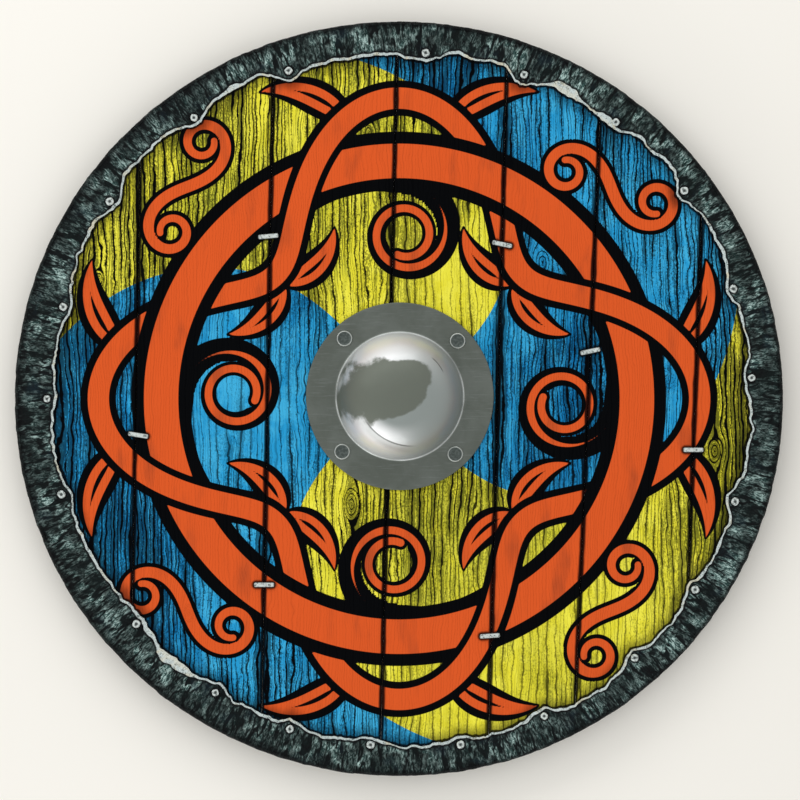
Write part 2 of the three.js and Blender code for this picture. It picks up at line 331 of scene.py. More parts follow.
# %% Width of the flap
LOBE_SHARPNESS = 4
FLAP_AT_LEAST = 20 * MM

nail_bearings = np.array([math.atan2(at.y, at.x) % math.tau for at in nails])
nail_insets = np.array([edge_radius(b) - math.hypot(at.x, at.y) for b, at in zip(nail_bearings, nails)])


def packed_flap(bearings):
    """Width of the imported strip's flap at some bearings"""
    x, y, z = points_of(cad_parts["rim_hide"].data).T
    bearing, inset = np.arctan2(y, x) % math.tau, edge_radius(np.arctan2(y, x)) - np.hypot(x, y)
    lip = (z > board_front) & (z < board_front + 1 * MM) & (inset > FLAP_AT_LEAST)
    return np.interp(bearings, bearing[lip], inset[lip], period=math.tau)


nail_sweeps = (np.roll(nail_bearings, -1) - nail_bearings) % math.tau
tongues = packed_flap(nail_bearings) - nail_insets
stretches = packed_flap(nail_bearings + nail_sweeps / 2) - (nail_insets + np.roll(nail_insets, -1)) / 2


def flap_width(bearing):
    bearing = np.asarray(bearing) % math.tau
    before = np.searchsorted(nail_bearings, bearing) - 1
    after = (before + 1) % len(nails)
    share = ((bearing - nail_bearings[before]) % math.tau) / nail_sweeps[before]
    inset = nail_insets[before] * (1 - share) + nail_insets[after] * share
    tongue = tongues[before] * (1 - share) + tongues[after] * share
    lobe = (0.5 + 0.5 * np.cos(math.tau * share)) ** LOBE_SHARPNESS
    return inset + tongue * lobe + stretches[before] * (1 - lobe)


# How deep, how many round the shield, and the seed of their random numbers
RIPS = [(2.1 * MM, 130, 33), (1.3 * MM, 300, 31), (0.8 * MM, 700, 32)]
NICKS = (2.6 * MM, 210, 36)
NICKS_OUTWARDS = 0.4


def torn_edge(bearing):
    """The flap's width with the soft rips and the sharp nicks of the torn edge"""
    turn = bearing / math.tau % 1
    level = np.full_like(turn, 0.5)
    rips = sum(depth * drift(turn * count, level, seed, count) for depth, count, seed in RIPS)
    depth, count, seed = NICKS
    nicks = depth * (NICKS_OUTWARDS - np.abs(drift(turn * count, level, seed, count)))
    return flap_width(bearing) + rips + nicks


widths = flap_width(np.linspace(0, math.tau, 2000))
print("flap", round(widths.min() / MM), "to", round(widths.max() / MM), "mm wide")

# %% [markdown]
# ## Grain that flows round the knots
# The boards' grain shows as long dark lines that waver up the board and part round each knot, as
# water parts round a stone. A flow round a post has a simple formula, so every point gets a number,
# its grain phase, that grows across the board and stays even along a line of grain. A line of grain
# is wherever the phase is a whole number. Both the carved grooves and the painted lines read it.

# %% Grain phase
GRAIN_SPACING = 8.6 * MM
# How far the lines waver, and over how wide and how long a stretch of a board
WAVERS = [
    (6.0 * MM, 46 * MM, 230 * MM),
    (2.4 * MM, 17 * MM, 64 * MM),
    (1.5 * MM, 9 * MM, 24 * MM),
    (0.85 * MM, 5.5 * MM, 9.5 * MM),
]
# Each board starts at a phase of its own, so that no grain runs on over a joint
BOARD_PHASE = 17.3
KNOT_RINGS = 2.6 * MM
KNOT_LENGTH = 2.0
# Middle of each knot and its half width, seen on the painted face
KNOTS = [
    (142 * MM, 135 * MM, 7.5 * MM),
    (-47 * MM, -104 * MM, 8 * MM),
    (312 * MM, -52 * MM, 6 * MM),
    (-208 * MM, -212 * MM, 5 * MM),
    (232 * MM, -196 * MM, 5 * MM),
    (-30 * MM, 262 * MM, 4.5 * MM),
    (-296 * MM, 118 * MM, 4 * MM),
]


def grain_phase(x, y, board):
    """The grain phase at each point of one board, and how far inside a knot the point is"""
    flow = x.copy()
    for index, (reach, width, length) in enumerate(WAVERS, 1):
        flow += reach * drift(x / width, y / length, 10 * board + index)
    inside = np.zeros_like(x)
    rings = np.zeros_like(x)
    for knot_x, knot_y, knot_radius in KNOTS:
        off_x, off_y = x - knot_x, (y - knot_y) / KNOT_LENGTH
        away = np.maximum(np.hypot(off_x, off_y), 0.1 * MM)
        parted = off_x * np.minimum(1, (knot_radius / away) ** 2)
        flow = flow - parted * ease(-away, -6 * knot_radius, -4 * knot_radius)
        inside = np.maximum(inside, ease(knot_radius - away, -0.1 * knot_radius, 0.1 * knot_radius))
        rings += np.maximum(0, knot_radius - away) / KNOT_RINGS
    return flow / GRAIN_SPACING + rings + BOARD_PHASE * board, inside


print("about", round(2 * board_x / GRAIN_SPACING), "lines of grain across the shield")

# %% [markdown]
# ## The painted face, first the two fields
# The ground is four comma-shaped fields, yellow and blue in turn, that swirl out from the boss. Each
# border is a line whose bearing grows with the square of its distance from the middle. The number
# stored on the mesh is the distance to the nearest border, above zero on yellow and below it on
# blue, so the shader can draw a crisp edge on a mesh whose faces are wider than the line.

# %% Yellow and blue fields
# Bearing of each border at the middle and how far it swings round by the rim, in degrees
BORDERS = [(35, 63), (125, 45), (217, 59), (309, 64)]
SWIRL_RADIUS = 340 * MM


def field_side(x, y):
    radius, bearing = np.hypot(x, y), np.arctan2(y, x)
    nearest = np.full_like(x, np.inf)
    side = np.zeros_like(x)
    for index, (start, swing) in enumerate(BORDERS):
        turned = math.radians(swing) * (radius / SWIRL_RADIUS) ** 2
        off = (bearing - math.radians(start) - turned + math.pi) % math.tau - math.pi
        away = off * radius / np.hypot(1, 2 * turned)
        closer = np.abs(away) < nearest
        nearest = np.where(closer, np.abs(away), nearest)
        side = np.where(closer, away * (1 if index % 2 == 0 else -1), side)
    return side


print("the borders swing by", [swing for start, swing in BORDERS], "degrees")

# %% [markdown]
# ## The knotwork
# On top goes a plain interlace of the kind that many old shields and manuscripts share: a ring with
# a four-lobed band woven over and under it, double scrolls outside, and leaves and curled commas
# inside. A stroke is a path and a half width. What is stored is again a distance, one for the orange
# and one for the black outline, and each new stroke is laid over the last: it clears the orange
# where its outline runs, then adds its own.

# %% Paths
def curl(length, bend, power, steps=110):
    """A path that starts straight along +X and curls in ever tighter; bend is its whole turn"""
    share = (np.arange(steps) + 0.5) / steps
    heading = math.radians(bend) * share**power
    stride = length / steps
    path = np.cumsum(np.stack([np.cos(heading), np.sin(heading)], axis=1) * stride, axis=0)
    return np.vstack([[0, 0], path])


def placed(path, heading, radius, bearing):
    """Turns a path to a heading and starts it at a radius and bearing from the middle, in degrees"""
    heading, bearing = math.radians(heading), math.radians(bearing)
    turn = np.array([[math.cos(heading), math.sin(heading)], [-math.sin(heading), math.cos(heading)]])
    return path @ turn + radius * np.array([math.cos(bearing), math.sin(bearing)])


def stand_by(path, axis, side, lean, radius, off):
    """Stands a path by an axis of the face; the other side gives its mirrored twin"""
    return placed(path * np.array([1, side]), axis + side * lean, radius, axis + side * off)


def swept(path, x, y):
    """Distance from each point to a path, and how far along the path its nearest place is"""
    nearest, share = np.full_like(x, np.inf), np.zeros_like(x)
    lengths = np.hypot(*np.diff(path, axis=0).T)
    reached = np.concatenate([[0], np.cumsum(lengths)]) / lengths.sum()
    for start, end, low, high in zip(path[:-1], path[1:], reached[:-1], reached[1:]):
        step = end - start
        where = np.clip(((x - start[0]) * step[0] + (y - start[1]) * step[1]) / (step @ step), 0, 1)
        away = np.hypot(x - start[0] - where * step[0], y - start[1] - where * step[1])
        closer = away < nearest
        nearest = np.where(closer, away, nearest)
        share = np.where(closer, low + where * (high - low), share)
    return nearest, np.clip(share, 0, 1)


print("a curl of 100 mm ends", np.round(curl(100 * MM, 360, 1.5)[-1] / MM), "mm from its start")

# %% [markdown]
# The strokes are laid as a painter lays them, one over the last. Two numbers at each point of the
# face are enough for that: how far it is from the nearest orange and from the nearest black, both
# below zero inside the paint. The lower of two such numbers joins two shapes, and the higher of one
# and the other's negative cuts one shape out of the other.

# %% Laying one stroke over the last
class Painting:
    """Distances to the orange and to the black, at every point of a board's face"""

    def __init__(self, x, y):
        self.x, self.y = x, y
        self.orange = np.full_like(x, 1.0)
        self.black = np.full_like(x, 1.0)

    def lay(self, away, half_width, outline, near):
        """A band of orange between two black outlines"""
        edge = away - half_width
        kept = np.maximum(self.orange[near], outline - edge)
        self.orange[near] = np.minimum(kept, edge)
        self.black[near] = np.minimum(self.black[near], edge - outline)

    def lay_black(self, away, half_width, near):
        edge = away - half_width
        self.orange[near] = np.maximum(self.orange[near], -edge)
        self.black[near] = np.minimum(self.black[near], edge)

    def along(self, path, reach):
        """The points near a path, their distance to it, and how far along it they lie"""
        low, high = path.min(axis=0) - reach, path.max(axis=0) + reach
        inside = (self.x > low[0]) & (self.x < high[0]) & (self.y > low[1]) & (self.y < high[1])
        near = np.flatnonzero(inside)
        return near, *swept(path, self.x[near], self.y[near])


# %% [markdown]
# The ring and the four-lobed band cross eight times, and go over and under in turn. Between two
# crossings they run well apart, so the whole face is cut into eight sectors with one crossing in
# the middle of each, and every other sector lays the ring last.

# %% Ring and lobed band
RING_RADIUS = 235 * MM
RING_HALF_WIDTH = 17 * MM
RING_OUTLINE = 12 * MM
BAND_SWING = 62 * MM
BAND_HALF_WIDTH = 10.5 * MM
BAND_OUTLINE = 7 * MM
FOLDS = 4


def weave(painting):
    """Lays the ring and the lobed band over and under each other"""
    radius, bearing = np.hypot(painting.x, painting.y), np.arctan2(painting.y, painting.x)
    band = RING_RADIUS + BAND_SWING * np.cos(FOLDS * bearing)
    slope = FOLDS * BAND_SWING * np.sin(FOLDS * bearing) / band
    ring = np.abs(radius - RING_RADIUS), RING_HALF_WIDTH, RING_OUTLINE
    lobed = np.abs(radius - band) / np.hypot(1, slope), BAND_HALF_WIDTH, BAND_OUTLINE
    ring_under = np.floor(bearing * FOLDS / math.pi).astype(int) % 2 == 0
    for here, order in ((ring_under, (ring, lobed)), (~ring_under, (lobed, ring))):
        near = np.flatnonzero(here)
        for away, half_width, outline in order:
            painting.lay(away[near], half_width, outline, near)


# %% [markdown]
# The smaller strokes follow a path that starts straight and curls in, each with its own way to swell
# and thin. One quarter of the face is drawn, and the same is then turned three times. What is laid
# before the ring and the band grows out from under them, and the scrolls come last.

# %% Scrolls, leaves and commas
def scroll(painting, path, half_width, outline):
    """Thickest in its middle, and thinner towards both curled ends"""
    near, away, share = painting.along(path, half_width + outline)
    painting.lay(away, half_width * (0.55 + 0.45 * np.sin(math.pi * share)), outline, near)


def leaf(painting, path, half_width, outline):
    """Pointed at both ends, with a black vein along its middle"""
    near, away, share = painting.along(path, half_width + 3 * outline)
    belly = np.sin(math.pi * share**0.75).clip(0) ** 0.9
    painting.lay(away, half_width * belly - 0.3 * MM, outline * (0.3 + belly), near)
    vein = 0.24 * half_width * ease(share, 0.1, 0.35) * ease(-share, -0.8, -0.4)
    painting.lay_black(away, vein - 0.3 * MM, near)


def comma(painting, path, fatness):
    """A fat black curl that thins to its tip, where a line of orange grows inside it"""
    near, away, share = painting.along(path, fatness + 4 * MM)
    fat = fatness * (ease(share, -0.05, 0.25) - 0.55 * ease(share, 0.3, 0.9)) + 0.5 * MM
    painting.lay_black(away, fat, near)
    thin = 0.26 * fatness * ease(share, 0.3, 0.55) - 0.1 * MM
    painting.orange[near] = np.minimum(painting.orange[near], away - thin)


# %% [markdown]
# The quarters' axes are the lobes of the band, and the lines half way between two lobes. Leaves stand
# in pairs by both, inside and outside the ring, a comma by each lobe, and a scroll by each half-way
# line.

# %% Place the strokes
# The curl of each stroke: its length, its whole turn in degrees and how late it bends
LEAF_CURL, FIN_CURL = (80 * MM, 70, 1.2), (100 * MM, 62, 1.3)
COMMA_CURL, SCROLL_CURL = (400 * MM, 600, 1.75), (162 * MM, 440, 1.8)
# How it stands: its lean from the axis in degrees, its radius, and how far off the axis it starts
LEAF_STAND, FIN_STAND = (-118, 160 * MM, 0), (44, 276 * MM, 10)
COMMA_STAND, SCROLL_STAND = (54, 205 * MM, -24), (66, 296 * MM, 0)
# Its half width and its outline
LEAF_WIDTHS, FIN_WIDTHS = (9.5 * MM, 5.5 * MM), (10.5 * MM, 6 * MM)
SCROLL_WIDTHS = (5.6 * MM, 4.2 * MM)
COMMA_FATNESS = 14.5 * MM


def draw_knotwork(painting):
    lobes = [360 / FOLDS * fold for fold in range(FOLDS)]
    for lobe in lobes:
        between = lobe + 180 / FOLDS
        for side in (1, -1):
            leaf(painting, stand_by(curl(*LEAF_CURL), between, side, *LEAF_STAND), *LEAF_WIDTHS)
            leaf(painting, stand_by(curl(*FIN_CURL), lobe, side, *FIN_STAND), *FIN_WIDTHS)
        comma(painting, stand_by(curl(*COMMA_CURL), lobe, -1, *COMMA_STAND), COMMA_FATNESS)
    weave(painting)
    for lobe in lobes:
        half = curl(*SCROLL_CURL)
        whole = np.vstack([-half[:0:-1], half])
        scroll(painting, stand_by(whole, lobe + 180 / FOLDS, 1, *SCROLL_STAND), *SCROLL_WIDTHS)


print(FOLDS * 6, "strokes over and under the ring and its band")

# %% [markdown]
# ## The shape of one board
# A real board is sawn, planed on its front and left rougher on its back. Its front here is a fine
# grid, because the grain is cut into it, and its back a coarse one. A grid starts as a unit square
# and is then stretched over the board: across, its columns run from joint to joint and crowd
# together there, where the edge is worn round, and along, they end on the oval outline. The outer
# side of an end board is hidden in the hide strip, so it is cut straight there, and its columns
# never grow too short.

# %% Stretch a grid over a board
SHOULDER_STEPS = np.array([0, 0.25, 0.6, 1.1, 1.8]) * MM
HIDDEN_SIDE = 0.985
CLOSER = 0.22 * MM


class Board:
    """One board: the lines of its long sides, and the grids that are stretched between them"""

    def __init__(self, number):
        self.number = number
        self.name = BOARDS[number]
        hidden = HIDDEN_SIDE * board_x
        self.left = self.closed(-1) if number else (-hidden, 0)
        self.right = self.closed(1) if number < len(BOARDS) - 1 else (hidden, 0)

    def closed(self, side):
        """The joint on one side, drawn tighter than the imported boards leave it"""
        place, lean = joint_line(self.name, side)
        return place + side * CLOSER, lean

    def side(self, line, y):
        return line[0] + line[1] * y

    def columns(self, step, inset):
        """Shares of the width at which the columns stand"""
        width = self.right[0] - self.left[0] - 2 * inset
        near = SHOULDER_STEPS / width if step < SHOULDER_STEPS[-1] else np.zeros(1)
        count = round(width * (1 - 2 * near[-1]) / step)
        return np.concatenate([near[:-1], np.linspace(near[-1], 1 - near[-1], count + 1), 1 - near[-2::-1]])

    def grid(self, bm, step_x, step_y, height, inset=0.0):
        """Adds one stretched grid to a bmesh and returns its vertices"""
        shares = self.columns(step_x, inset)
        rows = round(2 * board_y / step_y)
        made = bmesh.ops.create_grid(bm, x_segments=len(shares) - 1, y_segments=rows, size=0.5)["verts"]
        unit = np.array([vertex.co for vertex in made])
        share = shares[np.rint((unit[:, 0] + 0.5) * (len(shares) - 1)).astype(int)]
        end = np.zeros_like(share)
        # A leaning column and its end depend on each other, so each is worked out from the other
        for _ in range(8):
            y = np.where(unit[:, 1] > 0, end, -end)
            left, right = self.side(self.left, y) + inset, self.side(self.right, y) - inset
            x = left + (right - left) * share
            end = board_y * np.sqrt(1 - (x / board_x) ** 2) - inset
        y = 2 * end * unit[:, 1]
        left, right = self.side(self.left, y) + inset, self.side(self.right, y) - inset
        for vertex, place_x, place_y in zip(made, left + (right - left) * share, y):
            vertex.co = place_x, place_y, height
        return made


# %% [markdown]
# The front's border is drawn down to make the sides, and a loop of faces then bridges it to the
# coarse back, which is a little smaller, so that the bridge is the back's chamfer. Bridging two
# borders is quicker than sewing them by hand, and doesn't ask that they have as many vertices.

# %% Sides and back of a board
FRONT_STEP = (1.15 * MM, 1.7 * MM)
BACK_STEP = (5 * MM, 10 * MM)
BACK_CHAMFER = 1.4 * MM


def border(vertices):
    edges = {edge for vertex in vertices for edge in vertex.link_edges}
    return [edge for edge in edges if edge.is_boundary]


def board_mesh(board):
    bm = bmesh.new()
    front = board.grid(bm, *FRONT_STEP, board_front)
    walls = bmesh.ops.extrude_edge_only(bm, edges=border(front))["geom"]
    foot = [part for part in walls if isinstance(part, bmesh.types.BMVert)]
    for vertex in foot:
        vertex.co.z = board_back + BACK_CHAMFER
    back = board.grid(bm, *BACK_STEP, board_back, BACK_CHAMFER)
    bmesh.ops.bridge_loops(bm, edges=border(foot) + border(back))
    bmesh.ops.recalc_face_normals(bm, faces=bm.faces)
    return bm


# %% [markdown]
# ## Holes
# Every nail, rivet and staple leg goes through the wood, and the fist needs its own hole. One object
# holds a peg for each hole, a little thicker than what goes through it, and a Boolean takes them all
# away in one step. The frame says where each peg stands.

# %% Pegs for the holes
CLEARANCE = 0.3 * MM
NAIL_SHANK = 1.2 * MM
RIVET_SHANK = 3.0 * MM
GRIP_SHANK = 1.6 * MM
GRIP_NAIL_HEAD = 4.0 * MM
STAPLE_LEG = 2.4 * MM
PEG_END = 5 * MM


def peg(bm, at, radius, low, high, sides=20):
    """Adds a round peg that stands at a place, from one height to another"""
    made = bmesh.ops.create_cone(
        bm, cap_ends=True, segments=sides, radius1=radius, radius2=radius, depth=high - low
    )["verts"]
    bmesh.ops.translate(bm, verts=made, vec=(at.x, at.y, (low + high) / 2))


def lie_of(node):
    """Middle of a long piece seen from above, its heading, and its length and width"""
    flat = points_of(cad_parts[node].data)[:, :2]
    centre = (flat.min(axis=0) + flat.max(axis=0)) / 2
    axes = np.linalg.eigh(np.cov((flat - centre).T))[1]
    width, length = np.ptp((flat - centre) @ axes, axis=0)
    along = axes[:, 1] * math.copysign(1, axes[0, 1])
    return Vector((*centre, 0)), math.atan2(along[1], along[0]), length, width


# %% [markdown]
# A Boolean modifier could stay live on a piece, but it leaves the piece's own mesh whole, and the
# grain is to be cut into the drilled one. So the drilled mesh takes the whole one's place at once,
# and the pegs can be thrown away.

# %% Drilling
def cutter_from(bm, name):
    mesh = bpy.data.meshes.new(name)
    bm.to_mesh(mesh)
    bm.free()
    cutter = bpy.data.objects.new(name, mesh)
    bpy.context.scene.collection.objects.link(cutter)
    return cutter


def drill(piece, cutter):
    """Takes the cutter's pegs away from a piece, once and for all"""
    cut = piece.modifiers.new("holes", "BOOLEAN")
    cut.operation, cut.solver, cut.object = "DIFFERENCE", "MANIFOLD", cutter
    drilled = bpy.data.meshes.new_from_object(piece.evaluated_get(bpy.context.evaluated_depsgraph_get()))
    whole = piece.data
    piece.modifiers.clear()
    piece.data = drilled
    bpy.data.meshes.remove(whole)


def give_finishes(piece, *finishes):
    """Clears the empty slots that the drilling left and fills them in order"""
    piece.data.materials.clear()
    for finish in finishes:
        piece.data.materials.append(finish)


def drill_once(piece, bm, name):
    """Drills a piece with pegs that no other piece needs"""
    cutter = cutter_from(bm, name)
    drill(piece, cutter)
    bpy.data.objects.remove(cutter)


# %% [markdown]
# The boards share one set of pegs: one for the fist's hole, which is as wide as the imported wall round
# it, and one for each shank and each staple's leg. A grip nail's peg ends inside its board, as the
# nail does, so nothing of it shows on the painted face.

# %% Pegs for the boards
def board_pegs():
    bm = bmesh.new()
    below, above = board_back - PEG_END, board_front + PEG_END
    centre = np.array(boss_middle[:2])
    wall = points_of(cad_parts["plank_3"].data)[:, :2]
    hand_hole = np.hypot(*(wall - centre).T).min()
    peg(bm, boss_middle, hand_hole, below, above, sides=160)
    for node in rim_nails:
        peg(bm, middle(node), NAIL_SHANK + CLEARANCE, below, above)
    for node in named("boss_rivet"):
        peg(bm, middle(node), RIVET_SHANK + CLEARANCE, below, above)
    for node in named("grip_nail"):
        peg(bm, middle(node), GRIP_SHANK + CLEARANCE, below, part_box(node)[1].z + CLEARANCE)
    for node in named("staple"):
        at, heading, length, width = lie_of(node)
        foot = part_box(node)[0].z - CLEARANCE
        for side in (-1, 1):
            leg = bmesh.ops.create_cube(bm, size=1)["verts"]
            size = STAPLE_LEG + 2 * CLEARANCE, width + 2 * CLEARANCE, above - foot
            bmesh.ops.scale(bm, verts=leg, vec=size)
            bmesh.ops.translate(bm, verts=leg, vec=(side * (length - STAPLE_LEG) / 2, 0, (above + foot) / 2))
            bmesh.ops.rotate(bm, verts=leg, matrix=Matrix.Rotation(heading, 3, "Z"))
            bmesh.ops.translate(bm, verts=leg, vec=at)
    print("hand hole", round(hand_hole / MM, 1), "mm in radius")
    return cutter_from(bm, "board pegs")


# %% [markdown]
# ## Wear and grain on a board's face
# Weather eats the soft wood and leaves the paint standing between grooves. So each line of grain has
# a strength of its own that comes and goes along the board, and it is really cut into the front, less
# deep where thick paint fills it. The board's long edges are worn round, and its middle has sunk a
# little. Nothing here rises above the flat front that the boss and the staples sit on.

# %% Strength of the grain and the paint over it
# Where the paint lies thick and hides much of the grain: the middle of each place and its reach
THICK_PAINT = [
    (75 * MM, -300 * MM, 95 * MM),
    (175 * MM, -205 * MM, 100 * MM),
    (-165 * MM, 5 * MM, 80 * MM),
    (60 * MM, 120 * MM, 60 * MM),
]


def vein_strength(phase, y, inside):
    """How strong the nearest line of grain is: each line has its own, and fades in and out"""
    line = np.floor(phase + 0.5)
    own = 0.5 + 0.5 * scattered(line.astype(np.int64), 5, 71)
    shown = ease(drift(line * 3.7 + 0.5, y / (85 * MM), 72), -0.62, 0.05)
    return np.maximum((0.3 + 0.7 * own) * shown, inside)


def paint_thickness(x, y):
    """0 where the paint is thin and 1 where it is thickest"""
    thick = np.zeros_like(x)
    for middle_x, middle_y, reach in THICK_PAINT:
        thick = np.maximum(thick, np.exp(-(((x - middle_x) ** 2 + (y - middle_y) ** 2) / reach**2)))
    return thick


# %% [markdown]
# The numbers go to the mesh, one set for each vertex: the grain's phase and strength, the way to the
# nearest joint, to the hide and to a staple, and the painted strokes. The same numbers then move the
# vertices down. The back only gets the long, shallow dishes that a plane leaves.

# %% Cut the grain
GROOVE_DEPTH = 0.5 * MM
GROOVE_SHARE = 0.15
PAINT_FILL = 0.65
RIPPLE = 0.12 * MM
SHOULDER = 2.0 * MM
SHOULDER_DEPTH = 1.6 * MM
SUNKEN = 0.3 * MM
PLANE_MARK = 0.35 * MM


def off_staples(x, y):
    """Distance to the nearest staple's bar"""
    nearest = np.ones_like(x)
    for node in named("staple"):
        at, heading, length, width = lie_of(node)
        away_x, away_y = x - at.x, y - at.y
        along = away_x * math.cos(heading) + away_y * math.sin(heading)
        beside = away_y * math.cos(heading) - away_x * math.sin(heading)
        past = np.maximum(np.abs(along) - (length - width) / 2, 0)
        nearest = np.minimum(nearest, np.hypot(past, beside) - width / 2)
    return nearest


def off_joints(x, y, board):
    """Distances to the joints at left and right; the outer side of an end board is no joint"""
    off_left = np.abs(x - board.side(board.left, y))
    off_right = np.abs(board.side(board.right, y) - x)
    if board.number == 0:
        off_left[:] = 1
    if board.number == len(BOARDS) - 1:
        off_right[:] = 1
    return off_left, off_right


def painted_strokes(x, y, front):
    """Distances to the orange and to the black, where the front has either"""
    painting = Painting(x[front], y[front])
    draw_knotwork(painting)
    orange, black = np.ones_like(x), np.ones_like(x)
    orange[front], black[front] = painting.orange, painting.black
    return orange, black


def sink_front(piece, board):
    """Cuts the grain into a board's front and stores what its paint needs"""
    places = points_of(piece.data)
    front = places[:, 2] > board_front - LEVEL
    x, y = places[:, 0], places[:, 1]
    phase, inside = grain_phase(x, y, board.number)
    vein, thick = vein_strength(phase, y, inside), paint_thickness(x, y)
    off_left, off_right = off_joints(x, y, board)
    side = np.minimum(off_left, off_right)
    orange, black = painted_strokes(x, y, front)
    bearing = np.arctan2(y, x)
    rim = edge_radius(bearing) - np.hypot(x, y) - torn_edge(bearing)
    values = {"phase": phase, "vein": vein * (1 - 0.25 * thick), "thick": thick}
    values |= {"orange": orange, "black": black, "field": field_side(x, y)}
    values |= {"side": side, "rim": rim, "staple": off_staples(x, y)}
    for name, value in values.items():
        keep_values(piece.data, name, value)
    filled = 1 - PAINT_FILL * ease(-np.minimum(orange, black), 0, 1 * MM)
    groove = vein * np.exp(-(((phase - np.round(phase)) / GROOVE_SHARE) ** 2)) * filled
    ripple = RIPPLE * (1 + drift(x / (6 * MM), y / (40 * MM), 91 + board.number))
    worn = np.maximum(SHOULDER - side, 0)
    shoulder = SHOULDER - np.sqrt(SHOULDER**2 - worn**2)
    across = 2 * off_left / (off_left + off_right) - 1
    sunken = SUNKEN * (1 - across**2)
    worn_down = np.minimum(shoulder, SHOULDER_DEPTH) + sunken
    places[front, 2] -= (GROOVE_DEPTH * groove + ripple + worn_down)[front]
    back = places[:, 2] < board_back + LEVEL
    plane_marks = PLANE_MARK * (1 + drift(x / (28 * MM), y / (60 * MM), 131 + board.number))
    places[back, 2] += plane_marks[back]
    move_points(piece.data, places)
    return front


def set_finishes(mesh, front):
    """The first finish goes on faces that lie wholly on the front, the second on the rest"""
    corners = np.empty(len(mesh.loops), dtype=np.int32)
    mesh.loops.foreach_get("vertex_index", corners)
    starts = np.empty(len(mesh.polygons), dtype=np.int32)
    mesh.polygons.foreach_get("loop_start", starts)
    whole = np.minimum.reduceat(front[corners].astype(np.int32), starts)
    mesh.polygons.foreach_set("material_index", 1 - whole)


# %% [markdown]
# ## Ink in the grain
# The finish of the face reads the numbers that the mesh carries. The lines of grain come first, as a
# fine brush would draw them in dark ink: a heavy one where the phase is a whole number, a lighter one
# between two, and hairlines at each third. Noise frays their width and moves them a little.

# %% Ink in the grain
INK, GREEN_INK = paint(4, 5, 7), paint(6, 20, 10)


def off_line(finish, phase):
    """How far each place is from the nearest line, from 0 on it to a half between two"""
    calc = finish.calc
    return calc("ABSOLUTE", calc("SUBTRACT", calc("FRACT", calc("ADD", phase, 0.5)), 0.5))


def line_every(finish, phase, half_width):
    """1 on a line wherever the phase is a whole number, with a width given in phases"""
    return finish.rise(finish.calc("DIVIDE", off_line(finish, phase), half_width), 0.6, 1.05, 1, 0)


def less_where_thick(finish, most, loss):
    """A share that falls where the paint is thick"""
    return finish.calc("SUBTRACT", most, finish.calc("MULTIPLY", finish.stored("thick"), loss))


def hairlines_of(finish, phase, grime_and_shade, fray):
    """Hairlines at each third of a phase, each with a strength of its own, here and there"""
    calc, rise = finish.calc, finish.rise
    thirds = calc("MULTIPLY", phase, 3.0)
    chance = finish.node("TexWhiteNoise", noise_dimensions="1D")
    finish.feed(chance.inputs["W"], calc("FLOOR", calc("ADD", thirds, 0.5)))
    patchy = calc("ADD", finish.noise(finish.place((1, 0.16, 1)), 95, 2, 0.5), calc("MULTIPLY", grime_and_shade, 0.1))
    thin = calc("MULTIPLY", rise(patchy, 0.42, 0.64), chance.outputs["Value"])
    thin = calc("MULTIPLY", calc("ADD", calc("MULTIPLY", thin, 0.34), 0.012), fray)
    return line_every(finish, thirds, thin)


def grain_ink(finish, grime_and_shade):
    """The lines of grain, the dirt that gathers beside them, and the hairlines"""
    calc, rise = finish.calc, finish.rise
    wiggle = finish.noise(finish.place((1, 0.6, 1)), 230, 2, 0.6)
    phase = calc("ADD", finish.stored("phase"), calc("MULTIPLY", calc("SUBTRACT", wiggle, 0.5), 0.22))
    ragged = finish.noise(finish.place((1, 0.35, 1)), 330, 3, 0.7)
    # Lines grow wider with the dirt and the painted shade
    fray = calc("MULTIPLY", calc("ADD", 0.25, calc("MULTIPLY", ragged, 1.5)), rise(grime_and_shade, 0, 1, 0.7, 1.05))
    heavy = calc("ADD", calc("MULTIPLY", finish.stored("vein"), 0.165), 0.03)
    lines = line_every(finish, phase, calc("MULTIPLY", heavy, fray))
    shown = calc("ADD", finish.noise(finish.place((1, 0.1, 1)), 62, 2, 0.5), calc("MULTIPLY", grime_and_shade, 0.12))
    light = calc("MULTIPLY", rise(shown, 0.4, 0.64, 0.004, 0.1), fray)
    light = calc("MULTIPLY", light, less_where_thick(finish, 1, 0.6))
    lines = calc("MAXIMUM", lines, line_every(finish, calc("ADD", phase, 0.46), light))
    beside = line_every(finish, phase, calc("ADD", calc("MULTIPLY", heavy, 2.2), 0.04))
    return lines, beside, hairlines_of(finish, phase, grime_and_shade, fray)


# %% [markdown]
# ## The paint
# Under the ink lies yellow or blue, deeper in long streaks and paler in small clouds. Over both
# gather specks of dirt, most beside the lines. By the joints and towards the hide's edge the specks
# crowd thicker and the lines grow wider, as painted shade. The thickest paint was wiped clean.

# %% Ground colours, dirt and painted shade
YELLOW, YELLOW_PALE, YELLOW_DEEP = paint(240, 230, 58), paint(252, 244, 80), paint(172, 174, 50)
BLUE, BLUE_PALE, BLUE_DEEP = paint(40, 158, 214), paint(66, 180, 228), paint(14, 110, 168)
EDGE_BLUR = 0.25 * MM


def ground_paint(finish, broad, streak):
    """Yellow on one side of each border and blue on the other"""
    calc, rise, tint = finish.calc, finish.rise, finish.tint
    deep = calc("ADD", calc("MULTIPLY", broad, 0.55), calc("MULTIPLY", streak, 0.45))
    deep = calc("MULTIPLY", rise(deep, 0.44, 0.66), less_where_thick(finish, 1, 0.9))
    cloud = rise(finish.noise(finish.place((1, 0.6, 1)), 46, 5, 0.75, 0.6), 0.4, 0.62)
    blue = tint(deep, tint(cloud, BLUE, BLUE_PALE), BLUE_DEEP)
    yellow = tint(deep, tint(cloud, YELLOW, YELLOW_PALE), YELLOW_DEEP)
    return tint(rise(finish.stored("field"), -EDGE_BLUR, EDGE_BLUR), blue, yellow)


